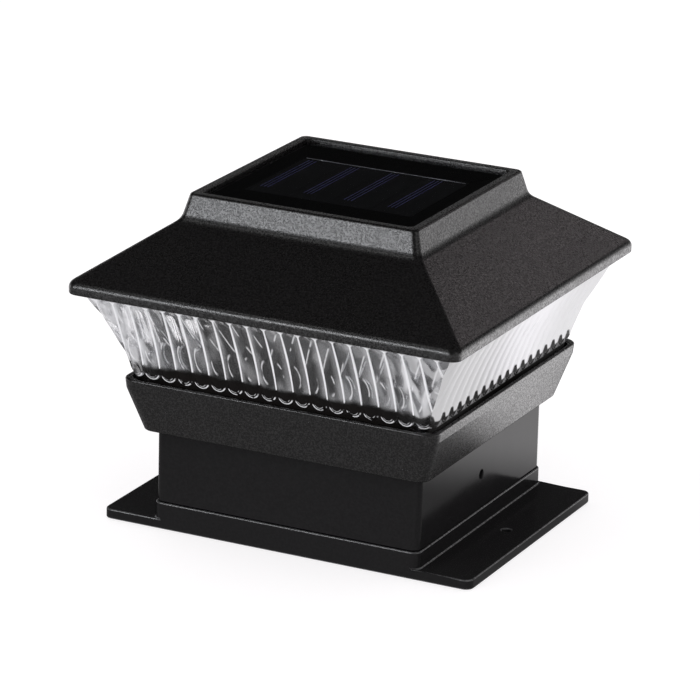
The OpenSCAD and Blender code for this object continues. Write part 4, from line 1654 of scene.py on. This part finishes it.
@dataclass
class Power:
    """The cell with its spring and contact."""

    centre_z: float = 73.55
    cell_d: float = 14.3
    cell_len: float = 50.3
    button_r: float = 2.7
    button_h: float = 1.2
    gap: float = 2.5
    wire_d: float = 0.8
    slack: float = 0.05
    coils: int = 3
    coil_steps: int = 36
    coil_radii: Pair = (4.6, 3.2)

    def cell(self) -> None:
        """Makes the cell's can and its button."""
        r, button, long = self.cell_d / 2, self.button_r, self.cell_len - self.button_h
        at = (-self.cell_len / 2, 0, self.centre_z)
        can = Form().lathe([
            (r - 1.6, 0.02), (r - 1.5, 0.0), (r - 0.4, 0.0), (r, 0.4), (r, long - 2.4),
            (r - 0.35, long - 2.0), (r, long - 1.5), (r, long - 0.5), (r - 0.4, long - 0.1),
            (r - 2.6, long - 0.1), (r - 2.7, long - 0.2)], at, (1, 0, 0), 64)
        can.build("cell_can", Finishes.SLEEVE, "roof", ["battery"])
        end = long + self.button_h
        knob = Form().lathe([(button, long - 0.3), (button, end - 0.3), (button - 0.3, end),
                             (0.1, end)], at, (1, 0, 0))
        knob.build("cell_button", Finishes.NICKEL, "roof")

    def spring(self) -> None:
        """Makes the spring, which narrows toward the cell."""
        first = -self.cell_len / 2 - self.gap + self.wire_d / 2 + self.slack
        run = self.gap - self.wire_d - 2 * self.slack
        wide, narrow = self.coil_radii
        count = self.coils * self.coil_steps
        path = []
        for k in range(count + 1):
            share, turn = k / count, 2 * math.pi * k / self.coil_steps
            radius = wide + (narrow - wide) * share
            path.append(Vector((first + run * share, radius * math.cos(turn),
                                self.centre_z + radius * math.sin(turn))))
        wire = Form().tube(path, self.wire_d / 2)
        wire.build("cell_spring", Finishes.NICKEL, "roof", ["battery_spring"])

    def build(self) -> None:
        """Makes the cell and the spring and dresses the contact."""
        self.cell()
        self.spring()
        dress_node("battery_contact", Finishes.NICKEL, 0.08)


@dataclass
class LampBox:
    """The grey tub under the roof and everything in it."""

    flange_seat: float = 87.0
    screw_at: float = 37.5
    screw: Screw = Screw(4.6, 1.7, 2.4, 11.0)

    def build(self) -> None:
        """Builds the lamp box."""
        for name, finish, edge in (
                ("lamp_box", Finishes.BOX, 0.3), ("battery_door", Finishes.BOX, 0.25),
                ("door_pin", Finishes.STEEL, 0.1), ("switch_body", Finishes.SWITCH, 0.1),
                ("switch_knob", Finishes.SWITCH, 0.15), ("panel_lead_red", Finishes.LEAD_RED, 0.0),
                ("panel_lead_black", Finishes.LEAD_BLACK, 0.0)):
            dress_node(name, finish, edge)
        self.screw.build("box_screws", "roof", seats(self.screw_at, self.flange_seat))
        Board().build()
        Power().build()


# ---------------------------------------------------------------- stage


@dataclass(frozen=True)
class Lamp:
    """A soft lamp that the camera doesn't see: place, aim on the Z axis and size in metres.

    level is its brightness as seen, where 1 is white.
    """

    name: str
    place: Triple
    aim_z: float
    size: Pair
    level: float
    tint: Colour = (1.0, 1.0, 1.0)

    def build(self) -> None:
        """Makes the lamp."""
        data = bpy.data.lights.new(self.name, "AREA")
        data.shape = "RECTANGLE"
        data.size, data.size_y = self.size
        data.energy = self.level * math.pi * self.size[0] * self.size[1]
        data.color = self.tint
        lamp = bpy.data.objects.new(self.name, data)
        lamp.location = self.place
        lamp.rotation_mode = "QUATERNION"
        aim = Vector((0, 0, self.aim_z)) - Vector(self.place)
        lamp.rotation_quaternion = aim.to_track_quat("-Z", "Y")
        lamp.visible_camera = False
        bpy.context.scene.collection.objects.link(lamp)


@dataclass
class Stage:
    """White floor and surround, soft lamps and the camera at the photograph's place.

    The floor is in metres, and the camera in millimetres and degrees. A pair of levels is the
    darker one and what the bright part adds.
    """

    azimuth: float = 25.98
    elevation: float = 18.34
    roll: float = 1.48
    distance: float = 1557.36
    focal_px: float = 4513.37
    target: Triple = (-0.87, -0.95, 58.57)
    clip: Pair = (0.05, 60.0)
    floor_half: float = 6.0
    floor_z: float = -0.0002
    floor_paint: float = 0.4
    floor_paint_unseen: float = 0.05
    floor_glow: Colour = (1.6, 1.57, 1.59)
    floor_seen: float = 0.45
    floor_bounce: float = 0.4
    # The next two pairs are levels of the painted pool of light on the floor, in reflections and
    # through the lens.
    floor_mirrored: Pair = (0.13, 0.87)
    floor_through: Pair = (0.26, 0.325)
    sky_mirrored: Pair = (0.02, 0.6)
    soft_level: float = 0.9
    black: Colour = (0.0, 0.0, 0.0)
    white: Colour = (1.0, 1.0, 1.0)
    lamps: tuple[Lamp, ...] = (
        Lamp("key", (-0.66, -1.59, 0.3), 0.08, (0.9, 0.3), 10.0, (0.95, 0.965, 1.0)),
        Lamp("rim", (0.35, 1.45, 0.85), 0.05, (0.35, 0.25), 1.0, (1.0, 0.91, 0.93)),
        Lamp("edge", (-0.7, -1.2, 1.3), 0.06, (0.4, 0.3), 2.1),
        Lamp("fill", (1.5, -0.6, 0.8), 0.06, (0.8, 0.8), 0.6))

    def camera(self) -> None:
        """Makes the camera."""
        a, e, r = (math.radians(angle) for angle in (self.azimuth, self.elevation, self.roll))
        back = Vector((math.sin(a) * math.cos(e), -math.cos(a) * math.cos(e), math.sin(e)))
        right = (-back).cross(Vector((0, 0, 1))).normalized()
        up = right.cross(-back)
        across = right * math.cos(r) + up * math.sin(r)
        upward = up * math.cos(r) - right * math.sin(r)
        data = bpy.data.cameras.new("camera")
        data.sensor_width = SENSOR_MM
        data.lens = self.focal_px * SENSOR_MM / IMAGE_PX
        data.clip_start, data.clip_end = self.clip
        camera = bpy.data.objects.new("camera", data)
        turn = Matrix((across, upward, back)).transposed().to_4x4()
        place = (Vector(self.target) + back * self.distance) * MM
        camera.matrix_world = Matrix.Translation(place) @ turn
        bpy.context.scene.collection.objects.link(camera)
        bpy.context.scene.camera = camera

    def world(self) -> None:
        """Sets a white surround, darker overhead in reflections, with a soft grey light."""
        world = bpy.data.worlds.new("studio")
        bpy.context.scene.world = world
        world.use_nodes = True
        graph = Graph(world.node_tree)
        path = graph.node("ShaderNodeLightPath")
        height = graph.axes(graph.node("ShaderNodeTexCoord")["Generated"])[2]
        clean = path["Is Glossy Ray"].peak(path["Is Transmission Ray"])
        dark, added = self.sky_mirrored
        level = path["Is Camera Ray"].peak(clean * (dark + added * height.step(0.2, 0.06)))
        level = level.peak((1 - clean) * self.soft_level)
        light = graph.node("ShaderNodeBackground",
                           {"Color": graph.blend(level, self.black, self.white)})[0]
        graph.node("ShaderNodeOutputWorld", {"Surface": light})

    def floor(self) -> None:
        """Makes the floor, which keeps the object's shadow and is clear from below."""
        form = bmesh.new()
        half = self.floor_half
        form.faces.new([form.verts.new((x, y, self.floor_z)) for x, y in
                        ((-half, -half), (half, -half), (half, half), (-half, half))])
        mesh = bpy.data.meshes.new("floor")
        form.to_mesh(mesh)
        form.free()
        floor = bpy.data.objects.new("floor", mesh)
        bpy.context.scene.collection.objects.link(floor)
        paint = bpy.data.materials.new("studio_floor")
        paint.use_nodes = True
        self.floor_shader(Graph(paint.node_tree))
        mesh.materials.append(paint)

    def floor_shader(self, graph: Graph) -> None:
        """Paints light onto the floor for reflections: a painted pool of light behind the object
        and painted shade in front.

        Args:
            graph: The graph of its material.
        """
        path = graph.node("ShaderNodeLightPath")
        seen = path["Is Camera Ray"]
        x, y, _ = graph.axes(graph.place())
        # back is a painted pool of light behind the object, and corner a faint painted bright patch
        # off the front right corner. Only reflections and the lens see them.
        back = (x.size() * 0.3 + y).step(0.05, 0.125) * (1 - 0.45 * y.step(0.4, 1.2))
        corner = x.step(0.05, 0.08) * y.step(-0.075, -0.1)
        dark, added = self.floor_mirrored
        mirrored = path["Is Glossy Ray"] * (dark + added * back.peak(corner * 0.08))
        dark, added = self.floor_through
        through = path["Is Transmission Ray"] * (dark + added * back)
        level = (seen * self.floor_seen).peak(mirrored).peak(through)
        level = level.peak(path["Is Diffuse Ray"] * self.floor_bounce)
        # Rays other than the camera's see a darker floor paint: painted shade in reflections and
        # bounces.
        paint = graph.matt(graph.blend(seen, (self.floor_paint_unseen,) * 3,
                                       (self.floor_paint,) * 3))
        glow = graph.node("ShaderNodeEmission",
                          {"Color": graph.blend(level, self.black, self.floor_glow)})[0]
        both = graph.node("ShaderNodeAddShader", {0: paint, 1: glow})[0]
        behind = graph.node("ShaderNodeNewGeometry")["Backfacing"]
        top = graph.layer(behind, both, graph.node("ShaderNodeBsdfTransparent")[0])
        graph.node("ShaderNodeOutputMaterial", {"Surface": top})

    def build(self) -> None:
        """Builds the stage."""
        bpy.context.scene.view_settings.view_transform = "Standard"
        self.camera()
        self.world()
        self.floor()
        for lamp in self.lamps:
            lamp.build()


def main() -> None:
    """Builds the light and its stage, and logs each group as it is built."""
    logging.basicConfig(level=logging.INFO, format="%(name)s: %(message)s")
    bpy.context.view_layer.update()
    Stage().build()
    for group in (Adapter(), Head(), Roof(), SolarPanel(), LampBox()):
        group.build()
        LOG.info("%s is built", type(group).__name__)


if __name__ == "__main__":
    main()
